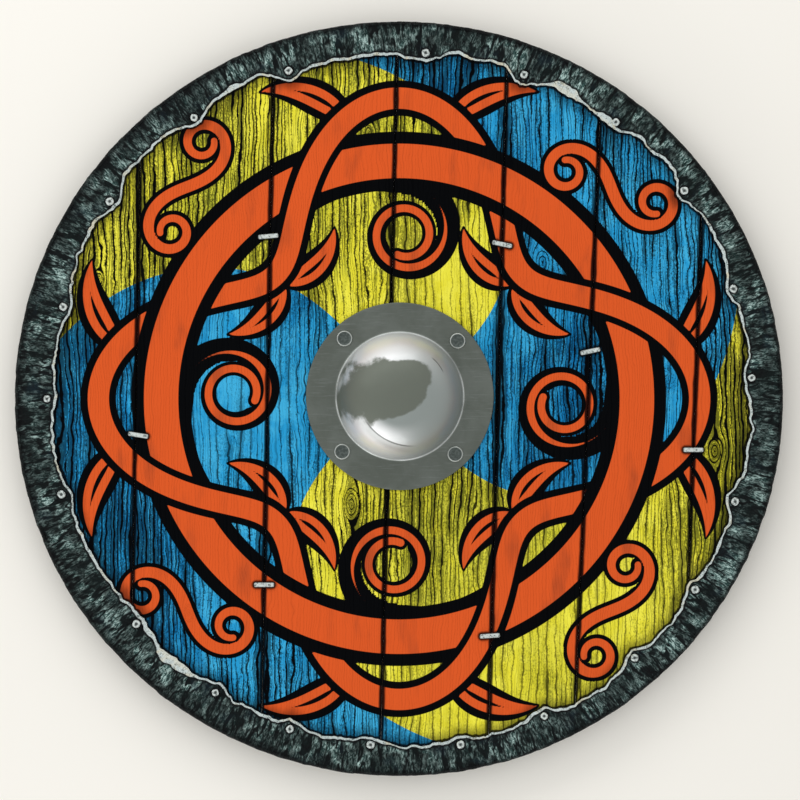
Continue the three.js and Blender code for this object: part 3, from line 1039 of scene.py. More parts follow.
def grime_and_shade_on(finish, broad):
    """How dirty each place is, with painted shade towards the hide's edge and by the joints"""
    calc, rise = finish.calc, finish.rise
    # Painted shade that grows towards the hide's edge
    outward = rise(finish.stored("rim"), 4 * MM, 70 * MM, 1, 0)
    grime_and_shade = calc("ADD", calc("MULTIPLY", outward, 0.45), rise(broad, 0.4, 0.66, 0, 0.65))
    # Painted shade by the joints
    grime_and_shade = calc("MAXIMUM", grime_and_shade, rise(finish.stored("side"), 1 * MM, 14 * MM, 1, 0))
    return calc("MULTIPLY", grime_and_shade, less_where_thick(finish, 1, 0.9))


# Specks of dirt, which crowd thicker as painted shade by the joints and towards the hide's edge
def specks_of_dirt_and_shade(finish, streak, grime_and_shade, beside):
    calc = finish.calc
    speck = finish.noise(finish.place((1, 0.7, 1)), 600, 3, 0.75)
    cluster = finish.noise(finish.place((1, 0.3, 1)), 34, 3, 0.65)
    gathered = calc("ADD", speck, calc("MULTIPLY", calc("SUBTRACT", cluster, 0.5), 0.55))
    gathered = calc("ADD", gathered, calc("MULTIPLY", calc("SUBTRACT", streak, 0.5), 0.35))
    gathered = calc("ADD", gathered, calc("MULTIPLY", grime_and_shade, 0.11))
    gathered = calc("ADD", gathered, calc("MULTIPLY", beside, 0.15))
    return finish.rise(gathered, 0.58, 0.67, 0, 0.85)


# %% [markdown]
# The knotwork goes over the ground and hides most of the grain. Last comes painted shade: black in
# the joints and round the staples, and a painted shadow under the hide's torn edge, each with a wandering
# border.

# %% Painted oak
ORANGE, ORANGE_DEEP = paint(226, 92, 40), paint(178, 76, 40)


def knotwork_paint(finish, ground, lines):
    """Orange strokes with black outlines, over the ground"""
    calc, rise, tint = finish.calc, finish.rise, finish.tint
    smudge = finish.noise(finish.place((1, 0.25, 1)), 42, 3, 0.55)
    dull = calc("MAXIMUM", calc("MULTIPLY", lines, 0.12), rise(smudge, 0.52, 0.74, 0, 0.8))
    top = tint(dull, ORANGE, ORANGE_DEEP)
    colour = tint(rise(finish.stored("black"), -EDGE_BLUR, EDGE_BLUR, 1, 0), ground, INK)
    return tint(rise(finish.stored("orange"), -EDGE_BLUR, EDGE_BLUR, 1, 0), colour, top)


def painted_shade_in_corners(finish):
    """How much painted shade lies in the joints and round the staples, and painted shadow under the hide's
    torn edge
    """
    calc, rise = finish.calc, finish.rise
    wander = calc("MULTIPLY", finish.noise(finish.place((1, 0.3, 1)), 120, 2), 2.6 * MM)
    # Painted shade: black in the joints
    joint = rise(calc("SUBTRACT", finish.stored("side"), wander), 0.2 * MM, 2.4 * MM, 0.97, 0)
    # Painted shadow under the hide's torn edge, black beside it and fading over 14 mm
    near_rim = calc("SUBTRACT", finish.stored("rim"), calc("MULTIPLY", wander, 1.4))
    under = calc("MAXIMUM", rise(near_rim, 0, 2.5 * MM, 0.97, 0), rise(near_rim, 0, 14 * MM, 0.6, 0))
    # Painted shade round each staple
    painted_shade_by_staple = rise(finish.stored("staple"), 0.6 * MM, 3.4 * MM, 0.9, 0)
    return calc("MAXIMUM", calc("MAXIMUM", joint, under), painted_shade_by_staple)


def painted_wood():
    finish = Finish("painted oak")
    calc, rise, tint = finish.calc, finish.rise, finish.tint
    broad = finish.noise(finish.place((1, 0.4, 1)), 9, 3, 0.6)
    streak = finish.noise(finish.place((1, 0.12, 1)), 230, 3, 0.6)
    ground, grime_and_shade = ground_paint(finish, broad, streak), grime_and_shade_on(finish, broad)
    lines, beside, hairlines = grain_ink(finish, grime_and_shade)
    specks = calc("MULTIPLY", hairlines, less_where_thick(finish, 0.9, 0.7))
    specks = calc("MAXIMUM", specks, specks_of_dirt_and_shade(finish, streak, grime_and_shade, beside))
    specks = calc("MULTIPLY", specks, less_where_thick(finish, 1, 0.55))
    ground = tint(specks, ground, tint(0.82, ground, GREEN_INK))
    soft_ink = tint(0.62, ground, INK)
    ground = tint(lines, ground, tint(finish.stored("thick"), INK, soft_ink))
    # The painted shade and painted shadow go over the paint and the knotwork
    colour = tint(painted_shade_in_corners(finish), knotwork_paint(finish, ground, lines), INK)
    relief = calc("SUBTRACT", calc("MULTIPLY", streak, 0.5), calc("MULTIPLY", hairlines, 0.6))
    rough = rise(lines, 0, 1, 0.6, 0.85)
    normal = finish.bumps(relief, 0.35 * MM)
    return finish.wear(Base_Color=colour, Roughness=rough, Normal=normal, Specular_IOR_Level=0.03)


# %% [markdown]
# The sides and the back were never painted. They show the same grain in brown, with grey where the
# weather got at it.

# %% Bare oak
def bare_oak():
    finish = Finish("bare oak")
    calc, rise, tint = finish.calc, finish.rise, finish.tint
    streak = finish.noise(finish.place((1, 0.06, 1)), 240, 4, 0.6)
    broad = finish.noise(finish.place((1, 0.3, 1)), 14, 3, 0.6)
    line = rise(off_line(finish, finish.stored("phase")), 0.03, 0.22, 1, 0)
    joint = rise(finish.stored("side"), 0.2 * MM, 2.2 * MM, 0.9, 0)
    colour = tint(rise(streak, 0.35, 0.7), paint(146, 112, 74), paint(96, 68, 42))
    colour = tint(calc("MULTIPLY", line, 0.55), colour, paint(58, 40, 26))
    colour = tint(rise(broad, 0.45, 0.75, 0, 0.5), colour, paint(74, 62, 50))
    colour = tint(joint, colour, paint(24, 17, 12))
    relief = calc("SUBTRACT", streak, calc("MULTIPLY", line, 0.6))
    rough = rise(streak, 0.3, 0.7, 0.6, 0.8)
    return finish.wear(Base_Color=colour, Roughness=rough, Normal=finish.bumps(relief, 0.4 * MM))


painted_oak_finish, bare_oak_finish = painted_wood(), bare_oak()
print("painted oak has", len(painted_oak_finish.node_tree.nodes), "nodes")

# %% [markdown]
# Now the boards are made one after the other. The holes are drilled first, because the grain is then
# cut into whatever front is left, up to the edge of each hole.

# %% Make the boards
pegs = board_pegs()
for number, name in enumerate(BOARDS):
    board = Board(number)
    piece = piece_from(board_mesh(board), f"board_{number + 1}", [], "painted_wood", name)
    drill(piece, pegs)
    front = sink_front(piece, board)
    give_finishes(piece, painted_oak_finish, bare_oak_finish)
    set_finishes(piece.data, front)
    shade_smooth(piece.data)
    print(piece.name, len(piece.data.polygons), "faces")
bpy.data.objects.remove(pegs)


# %% [markdown]
# ## The hide strip
# The rim of a shield takes the cuts, so a strip of raw hide was sewn or nailed over it wet, and it
# shrank tight as it dried. Its section is the same all the way round, so it is drawn once, from the
# torn edge over the front and the outer edge to the back, and then back along the inside.

# %% Section of the strip
STRIP_STEPS = 1440
STRIP_WIDEST = 48 * MM
STRIP_ROUND = 4 * MM
STRIP_SLACK = 0.7 * MM
STRIP_TOUCH = 0.3 * MM
STRIP_RADIUS = edge_x
TORN_THICKNESS = 1.0 * MM
hide_back, hide_front = rim_low.z, rim_high.z
hide_inside = seat_gap - STRIP_SLACK


def corner(height, start):
    """The strip's rounded outer corner, as points in from its edge over a quarter turn"""
    angles = [math.radians(start - 90 * step / 5) for step in range(1, 5)]
    return [(STRIP_ROUND * (1 - math.cos(a)), height + STRIP_ROUND * math.sin(a)) for a in angles]


def flap_insets():
    """Insets of the columns on a flap, from the torn edge outwards"""
    fine = np.cumsum([0, 0.5, 0.6, 0.7, 0.8] + [0.95] * 8) * MM
    coarse = np.linspace(fine[-1], STRIP_WIDEST - STRIP_ROUND, 20)[1:]
    return [STRIP_WIDEST - way for way in (*fine, *coarse)]


def strip_section():
    wall_top, wall_foot = hide_front - STRIP_ROUND, hide_back + STRIP_ROUND
    low, high = board_back - STRIP_TOUCH, board_front + STRIP_TOUCH
    front = [(inset, hide_front) for inset in flap_insets()]
    wall = [(0, height) for height in np.linspace(wall_top, wall_foot, 5)]
    outer = corner(wall_top, 90) + wall + corner(wall_foot, 0)
    back = [(inset, hide_back) for inset in np.linspace(STRIP_ROUND, STRIP_WIDEST, 14)]
    under = [(STRIP_WIDEST, low), (STRIP_WIDEST / 2, low), (hide_inside, low)]
    over = [(hide_inside, high), (STRIP_WIDEST / 2, high), (STRIP_WIDEST, high)]
    return front + outer + back + under + over


print("the strip's section has", len(strip_section()), "points")

# %% [markdown]
# A ring with a fixed section can be spun from the section, but spinning takes long when the ring has
# a thousand steps. A flat grid rolled up is the same thing: its columns go round the shield, its rows
# follow the section, and its four borders then lie on each other and are merged. The boss, the
# rivets and the nails have so few steps that they are spun.

# %% Rolling and spinning
def rolled(section, steps):
    """A closed section of (radius, height) points carried once round the Z axis"""
    bm = bmesh.new()
    rows = len(section)
    for vertex in bmesh.ops.create_grid(bm, x_segments=steps, y_segments=rows, size=0.5)["verts"]:
        column, row = round((vertex.co.x + 0.5) * steps), round((vertex.co.y + 0.5) * rows)
        radius, height = section[row % rows]
        turn = math.tau * (column % steps) / steps
        vertex.co = radius * math.cos(turn), radius * math.sin(turn), height
    bmesh.ops.remove_doubles(bm, verts=bm.verts, dist=0.002 * MM)
    bmesh.ops.recalc_face_normals(bm, faces=bm.faces)
    return bm


def spun(section, steps):
    """A section of (radius, height) points that starts and ends on the Z axis, spun once round it"""
    bm = bmesh.new()
    made = [bm.verts.new((radius, 0, height)) for radius, height in section]
    edges = [bm.edges.new(pair) for pair in zip(made, made[1:])]
    bmesh.ops.spin(
        bm, geom=made + edges, axis=(0, 0, 1), cent=(0, 0, 0), steps=steps, angle=math.tau, use_merge=True
    )
    bmesh.ops.remove_doubles(bm, verts=bm.verts, dist=0.002 * MM)
    bmesh.ops.recalc_face_normals(bm, faces=bm.faces)
    return bm


# %% [markdown]
# Then each vertex of the ring is moved: in or out to the shield's oval outline and to the torn edge,
# and up or down for the wrinkles. The columns crowd together at the torn edge, where the dark skin
# ends in a small step and the pale raw hide shows.

# %% Wrinkles and the raw edge
# Where the dark skin has peeled back from the torn edge: bearing, half sweep in degrees, and width
PEELED = [
    (61.5, 3.5, 7 * MM),
    (53.5, 2.2, 4 * MM),
    (229.5, 4.5, 7.5 * MM),
    (222.5, 2.5, 3 * MM),
    (118, 1.5, 2.5 * MM),
]
SKIN_STEP = 0.9 * MM
PLEATS = 230
# Folds that a nail pulls into the hide round it: how many, how far out and how wide
PUCKERS = 7
PUCKER_RADIUS = 8 * MM
PUCKER_WIDTH = 4 * MM
NAIL_DIP = 7 * MM
# How far in from the outer edge the hide gets painted shade, and how much farther on the left
OUTER_SHADE_REACH = 9 * MM
OUTER_SHADE_FARTHER = 8 * MM


def ridge(noise, sharpness):
    """A narrow crest wherever smooth noise crosses zero"""
    return (1 - np.minimum(np.abs(noise) * 1.6, 1)) ** sharpness


def wrinkles(x, y, bearing, inset):
    """How high the hide stands in lumps, from 0 to 1, and how deep it lies in creases"""
    turn = bearing / math.tau % 1
    warp = drift(x / (14 * MM), y / (14 * MM), 211)
    pleat = drift(turn * PLEATS + 0.55 * warp, inset / (15 * MM) + 0.3 * warp, 216, PLEATS)
    knob = drift(x / (6.5 * MM) + warp, y / (6.5 * MM) - warp, 213)
    lump = np.clip(0.5 + 0.42 * pleat + 0.3 * knob, 0, 1)
    return lump, np.maximum(ridge(pleat + 0.25 * knob, 4), 0.7 * ridge(knob, 3))


def pulled_by_nails(x, y):
    """Distance to the nearest nail, and the folds that run out from all the nails"""
    nearest, folds = np.full_like(x, 1.0), np.zeros_like(x)
    for index, nail in enumerate(nails):
        off = np.hypot(x - nail.x, y - nail.y)
        around = np.arctan2(y - nail.y, x - nail.x)
        nearest = np.minimum(nearest, off)
        pulled = np.exp(-(((off - PUCKER_RADIUS) / PUCKER_WIDTH) ** 2))
        folds += np.cos(PUCKERS * around + 5 * index) * pulled
    return nearest, folds


def pale_width(bearing):
    """How wide the raw edge of the hide shows"""
    turn = bearing / math.tau % 1
    wide = 2.1 * MM + 1.3 * MM * drift(turn * 190, np.full_like(turn, 3.5), 201, 190)
    for centre, sweep, width in PEELED:
        off = np.abs((np.degrees(bearing) - centre + 180) % 360 - 180)
        wide = wide + width * ease(-off, -sweep, -0.25 * sweep)
    return wide


print(PLEATS, "pleats round the shield, and", len(PEELED), "places where the skin has peeled")

# %% [markdown]
# Each vertex belongs to the upper flap, the lower flap, the outer wall or the inside, and only the
# inside stays as it is. The upper flap rises from the raw edge in two slopes, with the small step of
# the torn skin between them. The numbers for the finish are stored in the same go.

# %% Shape the strip
def shape_strip(piece):
    places = points_of(piece.data)
    height = places[:, 2]
    flat = STRIP_RADIUS - np.hypot(places[:, 0], places[:, 1])
    bearing = np.arctan2(places[:, 1], places[:, 0])
    flap = torn_edge(bearing)
    drawn_in = (flap - hide_inside) / (STRIP_WIDEST - hide_inside)
    inset = np.where(flat < hide_inside, flat, hide_inside + (flat - hide_inside) * drawn_in)
    off_edge = np.maximum(flap - inset, 0)
    top = (height > hide_front - LEVEL) & (flat > STRIP_ROUND - LEVEL)
    foot = (height < hide_back + LEVEL) & (flat > STRIP_ROUND - LEVEL)
    outer = (flat < hide_inside - 0.1 * MM) & ~top & ~foot
    radius = edge_radius(bearing) - inset
    x, y = radius * np.cos(bearing), radius * np.sin(bearing)
    lump, crease = wrinkles(x, y, bearing, inset)
    nail_off, pucker = pulled_by_nails(x, y)

    dip = np.exp(-((nail_off / NAIL_DIP) ** 2))
    sink = 0.2 + 1.1 * (1 - lump) + 0.45 * crease + 0.6 * dip + 0.25 * (1 + pucker) * (1 - dip)
    skin, raw = hide_front - sink * MM, board_front + STRIP_TOUCH + TORN_THICKNESS
    pale = pale_width(bearing)
    slope = 0.55 * ease(off_edge, 0, pale) + 0.45 * ease(off_edge, pale - 0.2 * MM, pale + SKIN_STEP)
    z = height.copy()
    z[top] = (raw + (skin - raw) * slope)[top]
    raw_back = board_back - STRIP_TOUCH - TORN_THICKNESS
    low = hide_back + (0.2 + 0.6 * (1 - lump) + 0.3 * crease) * MM
    z[foot] = (raw_back + (low - raw_back) * ease(off_edge, 0, 2.5 * MM))[foot]
    radius = radius - np.where(outer, (0.1 + 0.8 * (1 - lump) + 0.3 * crease) * MM, 0)
    move_points(piece.data, np.stack([radius * np.cos(bearing), radius * np.sin(bearing), z], axis=1))

    raw_side = np.where(top | foot, pale - off_edge, -1.0)
    raw_side = np.where(top | foot | outer, raw_side, 1 * MM)
    # Painted shade at the strip's outer edge, reaching farther in on the left
    outer_shade_reach = OUTER_SHADE_REACH + OUTER_SHADE_FARTHER * ease(-np.cos(bearing), -0.2, 0.8)
    outer_shade = 1 - ease(inset, 1 * MM, outer_shade_reach)
    values = {"raw": raw_side, "crease": crease, "lump": lump, "outer_shade": outer_shade, "nail": nail_off}
    for name, value in values.items():
        keep_values(piece.data, name, value)


# %% [markdown]
# The hide is nearly black. The tops of its lumps are lighter, as painted light, and the curled fibres
# on them pale, as painted highlights. Painted shade darkens its outer edge and its creases, and
# painted shadow lies round each nail and along the tear, which makes the pale raw edge look like a drawn
# line.

# %% Hide finish
# The grey and the pale colours are painted light and painted highlights on the hide's lumps
DARK_HIDE, LIT_HIDE, HIDE_HIGHLIGHT = paint(7, 19, 19), paint(66, 99, 95), paint(200, 228, 222)
BLUE_HIDE = paint(28, 48, 62)


def wrinkled_hide():
    finish = Finish("wrinkled hide")
    calc, rise, tint = finish.calc, finish.rise, finish.tint
    where = finish.place()
    raw, crease, lump = map(finish.stored, ("raw", "crease", "lump"))
    fleck = finish.noise(where, 300, 4, 0.72, 1.2)
    patch = finish.noise(where, 62, 3, 0.6, 0.6)
    strokes = finish.noise(finish.round_place(edge_x, 0.34), 470, 3, 0.65, 1.4)
    furrows = finish.noise(finish.round_place(edge_x, 0.3), 165, 2, 0.5, 1.0)
    fibre = finish.noise(where, 900, 2, 0.6, 2.0)

    # Painted light: the tops of the lumps are lighter
    lit = calc("MULTIPLY", rise(furrows, 0.4, 0.56), rise(lump, 0.3, 0.75, 0.25, 1))
    colour = tint(calc("MULTIPLY", lit, rise(patch, 0.35, 0.6, 0.35, 0.9)), DARK_HIDE, LIT_HIDE)
    # Painted highlights on the curled fibres of the lighter lumps
    painted_lump_highlight = calc("MULTIPLY", rise(strokes, 0.46, 0.59), rise(patch, 0.34, 0.6, 0.3, 1))
    colour = tint(calc("MULTIPLY", painted_lump_highlight, lit), colour, HIDE_HIGHLIGHT)
    colour = tint(rise(strokes, 0.34, 0.43, 0.9, 0), colour, INK)
    colour = tint(rise(finish.noise(where, 40, 2), 0.55, 0.75, 0, 0.35), colour, BLUE_HIDE)
    # Painted shade in the creases
    colour = tint(calc("MULTIPLY", crease, 0.85), colour, INK)
    # Painted shade along the outer edge
    outer = calc("MULTIPLY", finish.stored("outer_shade"), 0.88)
    # Painted shadow round each nail
    painted_shadow_by_nail = rise(finish.stored("nail"), 4.6 * MM, 6.6 * MM, 0.95, 0)
    # Painted shadow along the skin's step at the tear
    painted_shadow_by_tear = rise(raw, -3.4 * MM, -0.8 * MM, 0, 0.95)
    colour = tint(calc("MAXIMUM", outer, calc("MAXIMUM", painted_shadow_by_nail, painted_shadow_by_tear)), colour, INK)

    cream = tint(rise(patch, 0.5, 0.66), paint(214, 226, 224), paint(224, 220, 198))
    cream = tint(rise(fleck, 0.5, 0.64, 0, 0.85), cream, paint(84, 98, 94))
    cream = tint(rise(raw, 3 * MM, 6 * MM, 0, 0.5), cream, paint(232, 228, 206))
    colour = tint(rise(raw, -0.3 * MM, 0.1 * MM), colour, cream)
    folds = calc("ADD", furrows, calc("MULTIPLY", strokes, 0.45))
    relief = calc("ADD", calc("MULTIPLY", fleck, 0.6), calc("MULTIPLY", fibre, 0.35))
    normal = finish.bumps(folds, 3.2 * MM, finish.bumps(relief, 0.7 * MM))
    rough = rise(fleck, 0.3, 0.7, 0.42, 0.7)
    return finish.wear(Base_Color=colour, Roughness=rough, Normal=normal, Specular_IOR_Level=0.12)


# %% [markdown]
# The strip is rolled, shaped, and then drilled for the nails. The order matters: a hole that is cut
# last keeps its straight wall, where a hole in the flat grid would be bent with the wrinkles.

# %% Make the strip
ring = [(STRIP_RADIUS - inset, height) for inset, height in strip_section()]
strip = piece_from(rolled(ring, STRIP_STEPS), "hide_strip", [], "hide", "rim_hide")
shape_strip(strip)
strip_pegs = bmesh.new()
for node in rim_nails:
    peg(strip_pegs, middle(node), NAIL_SHANK + CLEARANCE, hide_back - PEG_END, hide_front + PEG_END)
drill_once(strip, strip_pegs, "strip pegs")
give_finishes(strip, wrinkled_hide())
shade_smooth(strip.data)
print("hide strip", len(strip.data.polygons), "faces")

# %% [markdown]
# ## Iron and steel
# The boss was raised from a flat sheet with a round hammer, so its dome has faint dents, and it was
# polished afterwards. The flange was left satin. Both are one finish, whose colour and roughness
# follow the numbers on the mesh: a dark patch on the dome is a painted reflection, and two pale arcs
# and a thin pale line round the dome's foot are painted highlights.

# %% Steel of the boss
def boss_steel():
    finish = Finish("boss steel")
    calc, rise, tint = finish.calc, finish.rise, finish.tint
    where = finish.place()
    dome = finish.stored("dome")
    cloud = finish.noise(where, 26, 5, 0.62, 0.4)
    brushed = finish.noise(finish.place((1, 0.16, 1)), 520, 3, 0.6)
    grey = tint(rise(cloud, 0.35, 0.7), paint(100, 106, 99), paint(112, 118, 112))
    drawn = finish.noise(finish.place((0.06, 1, 1)), 620, 3, 0.7)
    grey = tint(rise(drawn, 0.54, 0.7, 0, 0.3), grey, paint(140, 146, 144))
    uneven = calc("MULTIPLY", calc("SUBTRACT", cloud, 0.5), 0.8)
    # Painted reflection: a dark patch on the dome
    dark_reflection = rise(calc("ADD", finish.stored("dark_reflection"), uneven), -0.06, 0.08)
    # Painted highlights: two pale arcs on the dome
    bright = tint(finish.stored("painted_highlight"), paint(146, 154, 151), paint(240, 242, 242))
    bright = tint(dark_reflection, bright, paint(106, 112, 102))
    off, scratched = finish.stored("scratch"), finish.stored("scratched")
    # Painted reflection: a greyer band just outside each scratch's arc, beside the pale highlights
    dull = calc("MULTIPLY", rise(off, -0.3 * MM, 0.6 * MM), rise(off, 4 * MM, 9 * MM, 0.55, 0))
    bright = tint(calc("MULTIPLY", dull, scratched), bright, paint(160, 164, 160))
    uneven_width = rise(cloud, 0.3, 0.7, 0.3 * MM, 1.1 * MM)
    line = rise(calc("DIVIDE", calc("ABSOLUTE", off), uneven_width), 0.4, 1, 0.8, 0)
    bright = tint(calc("MULTIPLY", line, scratched), bright, paint(78, 81, 77))
    colour = tint(dome, grey, bright)
    # Painted highlight: a thin pale line round the dome's foot
    foot_highlight = calc("MULTIPLY", finish.stored("foot"), rise(cloud, 0.35, 0.62, 0.35, 0.95))
    colour = tint(foot_highlight, colour, paint(232, 236, 234))
    rough = calc("ADD", calc("MULTIPLY", brushed, 0.12), rise(dome, 0, 1, 0.42, 0.3))
    # The dark painted reflection is also a little rougher
    rough = calc("ADD", rough, calc("MULTIPLY", dark_reflection, 0.12))
    metallic = rise(dome, 0, 1, 0.9, 0.38)
    normal = finish.bumps(brushed, 0.05 * MM)
    return finish.wear(Base_Color=colour, Roughness=rough, Metallic=metallic, Normal=normal)


boss_finish = boss_steel()
print("boss steel has", len(boss_finish.node_tree.nodes), "nodes")

# %% [markdown]
# The rivets' heads are dark, with a pale ring on the bevel of the edge that is a painted highlight,
# and smoother there. Nails and staples are paler, because they were filed; the nails' hollows stayed
# dark, and the staples are darker towards their sides and ends. One function makes the iron of both,
# and is told which of the mesh's numbers says where it is dark.

# %% Iron of the rivets, nails and staples
def rivet_iron():
    finish = Finish("rivet iron")
    rise, tint = finish.rise, finish.tint
    where = finish.place()
    ring = finish.stored("ring")
    grain = finish.noise(where, 420, 3, 0.6)
    dark = tint(rise(grain, 0.4, 0.65), paint(76, 84, 81), paint(98, 106, 103))
    # Painted highlight: a pale ring on the bevel of the rivet's head
    colour = tint(ring, dark, paint(190, 195, 190))
    rough = rise(ring, 0, 1, 0.5, 0.3)
    normal = finish.bumps(grain, 0.15 * MM)
    return finish.wear(Base_Color=colour, Roughness=rough, Metallic=0.85, Normal=normal)


def scraped_iron(name, worn):
    """Pale where it was filed, and dark in the pits and wherever the number named worn is high"""
    finish = Finish(name)
    rise, tint = finish.rise, finish.tint
    grain = finish.noise(finish.place(), 480, 3, 0.65)
    colour = tint(rise(grain, 0.5, 0.66), paint(216, 225, 221), paint(112, 120, 118))
    colour = tint(finish.stored(worn), colour, paint(44, 52, 51))
    return finish.wear(
        Base_Color=colour, Roughness=rise(grain, 0.3, 0.7, 0.4, 0.6), Metallic=0.2,
        Normal=finish.bumps(grain, 0.3 * MM),
    )


rivet_finish = rivet_iron()
nail_finish, staple_finish = scraped_iron("nail iron", "hollow"), scraped_iron("staple iron", "tick")
print("metals", [finish.name for finish in (boss_finish, rivet_finish, nail_finish, staple_finish)])

# %% [markdown]
# ## The boss
# A dome is a quarter of an oval spun round, and the flange is a flat ring that meets it in a small
# fillet, as sheet steel can't be raised with a sharp inner corner.

# %% Section of the boss
BOSS_WALL = 2 * MM
FLANGE_ROUND = 0.7 * MM
FILLET = 2.6 * MM
DOME_POINTS = 44
DOME_INSIDE_POINTS = 24

boss_low, boss_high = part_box("boss")
boss_points = points_of(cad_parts["boss"].data) - np.array([boss_middle.x, boss_middle.y, 0])
boss_radii = np.hypot(boss_points[:, 0], boss_points[:, 1])
flange_top = boss_low.z + BOSS_WALL
dome_radius = boss_radii[np.abs(boss_points[:, 2] - flange_top) < 0.05 * MM].min()
flange_radius = (boss_high.x - boss_low.x) / 2


def oval(radius, height, base, points, reach=90):
    """From the foot of a dome to its top"""
    angles = [math.radians(reach * step / points) for step in range(points + 1)]
    return [(max(radius * math.cos(a), 0), base + height * math.sin(a)) for a in angles]


def boss_section():
    dome_height = boss_high.z - flange_top
    inside = oval(dome_radius - BOSS_WALL, dome_height, boss_low.z, DOME_INSIDE_POINTS)[::-1]
    inside[0] = (0, inside[0][1])
    outer = [
        (flange_radius - FLANGE_ROUND, boss_low.z),
        (flange_radius, boss_low.z + FLANGE_ROUND),
        (flange_radius, flange_top - FLANGE_ROUND),
        (flange_radius - 0.3 * FLANGE_ROUND, flange_top - 0.3 * FLANGE_ROUND),
        (flange_radius - FLANGE_ROUND, flange_top),
    ]
    flat = [(radius, flange_top) for radius in np.linspace(flange_radius - 2 * MM, dome_radius + FILLET, 14)]
    fillet = []
    for step in range(1, 6):
        turn = math.radians(90 * step / 6)
        radius, height = FILLET * (1 - math.sin(turn)), FILLET * (1 - math.cos(turn))
        fillet.append((dome_radius + radius, flange_top + height))
    dome = oval(dome_radius, dome_height, flange_top, DOME_POINTS)
    dome = [point for point in dome if point[1] > flange_top + FILLET]
    dome[-1] = (0, dome[-1][1])
    return inside + outer + flat + fillet + dome


print("dome", round(dome_radius / MM, 1), "mm in radius, flange", round(flange_radius / MM, 1), "mm")

# %% [markdown]
# The hammer's dents move the vertices. The painted reflection, the painted highlights and the
# scratches are only stored: the dark reflection as a rounded patch to the left, the highlights as two
# arcs, and a scratch as the distance from a circle, since the line itself is thinner than the dome's
# faces and would break up.

# %% Dents, painted reflection, painted highlights and scratches
HAMMER_DENT = 0.16 * MM
SHEET_WAVE = 0.07 * MM
# The painted dark reflection: its middle, its half width and half height, and how much it leans
DARK_REFLECTION_MIDDLE = (-22 * MM, 7 * MM)
DARK_REFLECTION_REACH = (47 * MM, 29 * MM)
DARK_REFLECTION_LEAN = 0.35
# Painted highlight arcs: bearing and width in degrees, and the shares of the dome's radius at which
# they begin and are full
HIGHLIGHT_ARCS = [(112, 54, 0.4, 0.66), (-122, 40, 0.42, 0.62)]
# Curved scratches: middle and radius of each circle, its bearing and half sweep in degrees
SCRATCHES = [(8 * MM, 8 * MM, 38 * MM, 38, 16), (12 * MM, 5 * MM, 54 * MM, -119, 36)]


def dark_reflection_on(x, y):
    """Above zero inside the patch, whose border is blurred at the left"""
    off_x = (x - DARK_REFLECTION_MIDDLE[0] - DARK_REFLECTION_LEAN * y) / DARK_REFLECTION_REACH[0]
    off_y = (y - DARK_REFLECTION_MIDDLE[1]) / DARK_REFLECTION_REACH[1]
    patch = 1 - (np.abs(off_x) ** 3 + np.abs(off_y) ** 3) ** (1 / 3)
    return patch * (0.35 + 1.65 * ease(x, -30 * MM, 5 * MM))


# Where the dome gets its two painted highlights
def painted_highlight_on(x, y):
    bearing, out = np.degrees(np.arctan2(y, x)), np.hypot(x, y) / dome_radius
    painted_highlight = np.zeros_like(x)
    for centre, width, start, full in HIGHLIGHT_ARCS:
        painted_highlight = np.maximum(painted_highlight, np.exp(-(((bearing - centre) / width) ** 2)) * ease(out, start, full))
    return painted_highlight


def scratches_on(x, y):
    """Distance from a scratch's circle, and how strong the scratch is there"""
    scratch, strength = np.ones_like(x), np.zeros_like(x)
    for middle_x, middle_y, reach, centre, sweep in SCRATCHES:
        off_x, off_y = x - middle_x, y - middle_y
        off = np.abs(np.degrees(np.arctan2(off_y, off_x)) - centre)
        here = off < 1.5 * sweep
        scratch[here] = (np.hypot(off_x, off_y) - reach)[here]
        strength[here] = ease(-off, -sweep, -0.5 * sweep)[here]
    return scratch, strength


def hammer_boss(piece):
    """Dents the boss, stores what its finish reads, and brings it to its place"""
    places = points_of(piece.data)
    x, y, z = places.T
    radius = np.hypot(x, y)
    upper = (z > flange_top - 0.2 * MM) & ((z > flange_top + 2 * MM) | (radius > dome_radius))
    on_dome = ease(z - flange_top, 0.6 * MM, 1.6 * MM)
    off_foot = np.abs(radius - dome_radius - 0.4 * MM)
    scratch, scratched = scratches_on(x, y)
    # The foot value marks the line round the dome's foot that gets a painted highlight
    values = {"dome": on_dome, "foot": ease(-off_foot, -1.1 * MM, -0.1 * MM) * upper}
    values |= {"dark_reflection": np.where(upper, dark_reflection_on(x, y), 1), "painted_highlight": painted_highlight_on(x, y)}
    values |= {"scratch": scratch, "scratched": scratched}
    for name, value in values.items():
        keep_values(piece.data, name, value)
    dent = HAMMER_DENT * (1 + drift(x / (9 * MM), y / (9 * MM), 301)) * on_dome
    dent += SHEET_WAVE * (1 + drift(x / (22 * MM), y / (22 * MM), 302))
    places[:, 2] -= np.where(upper & (radius < flange_radius - 1 * MM), dent, 0)
    places[:, :2] += np.array(boss_middle[:2])
    move_points(piece.data, places)


# %% [markdown]
# The boss is spun round its own middle, where dents and marks are easy to place, and is then moved to
# the middle that the frame gives it. The rivets' holes come last.

# %% Make the boss
BOSS_STEPS = 288

boss = piece_from(spun(boss_section(), BOSS_STEPS), "shield_boss", [], "boss_steel", "boss")
hammer_boss(boss)
rivet_pegs = bmesh.new()
for node in named("boss_rivet"):
    peg(rivet_pegs, middle(node), RIVET_SHANK + CLEARANCE, boss_low.z - PEG_END, flange_top + PEG_END)
drill_once(boss, rivet_pegs, "rivet pegs")
give_finishes(boss, boss_finish)
shade_smooth(boss.data)
print("boss", len(boss.data.polygons), "faces")

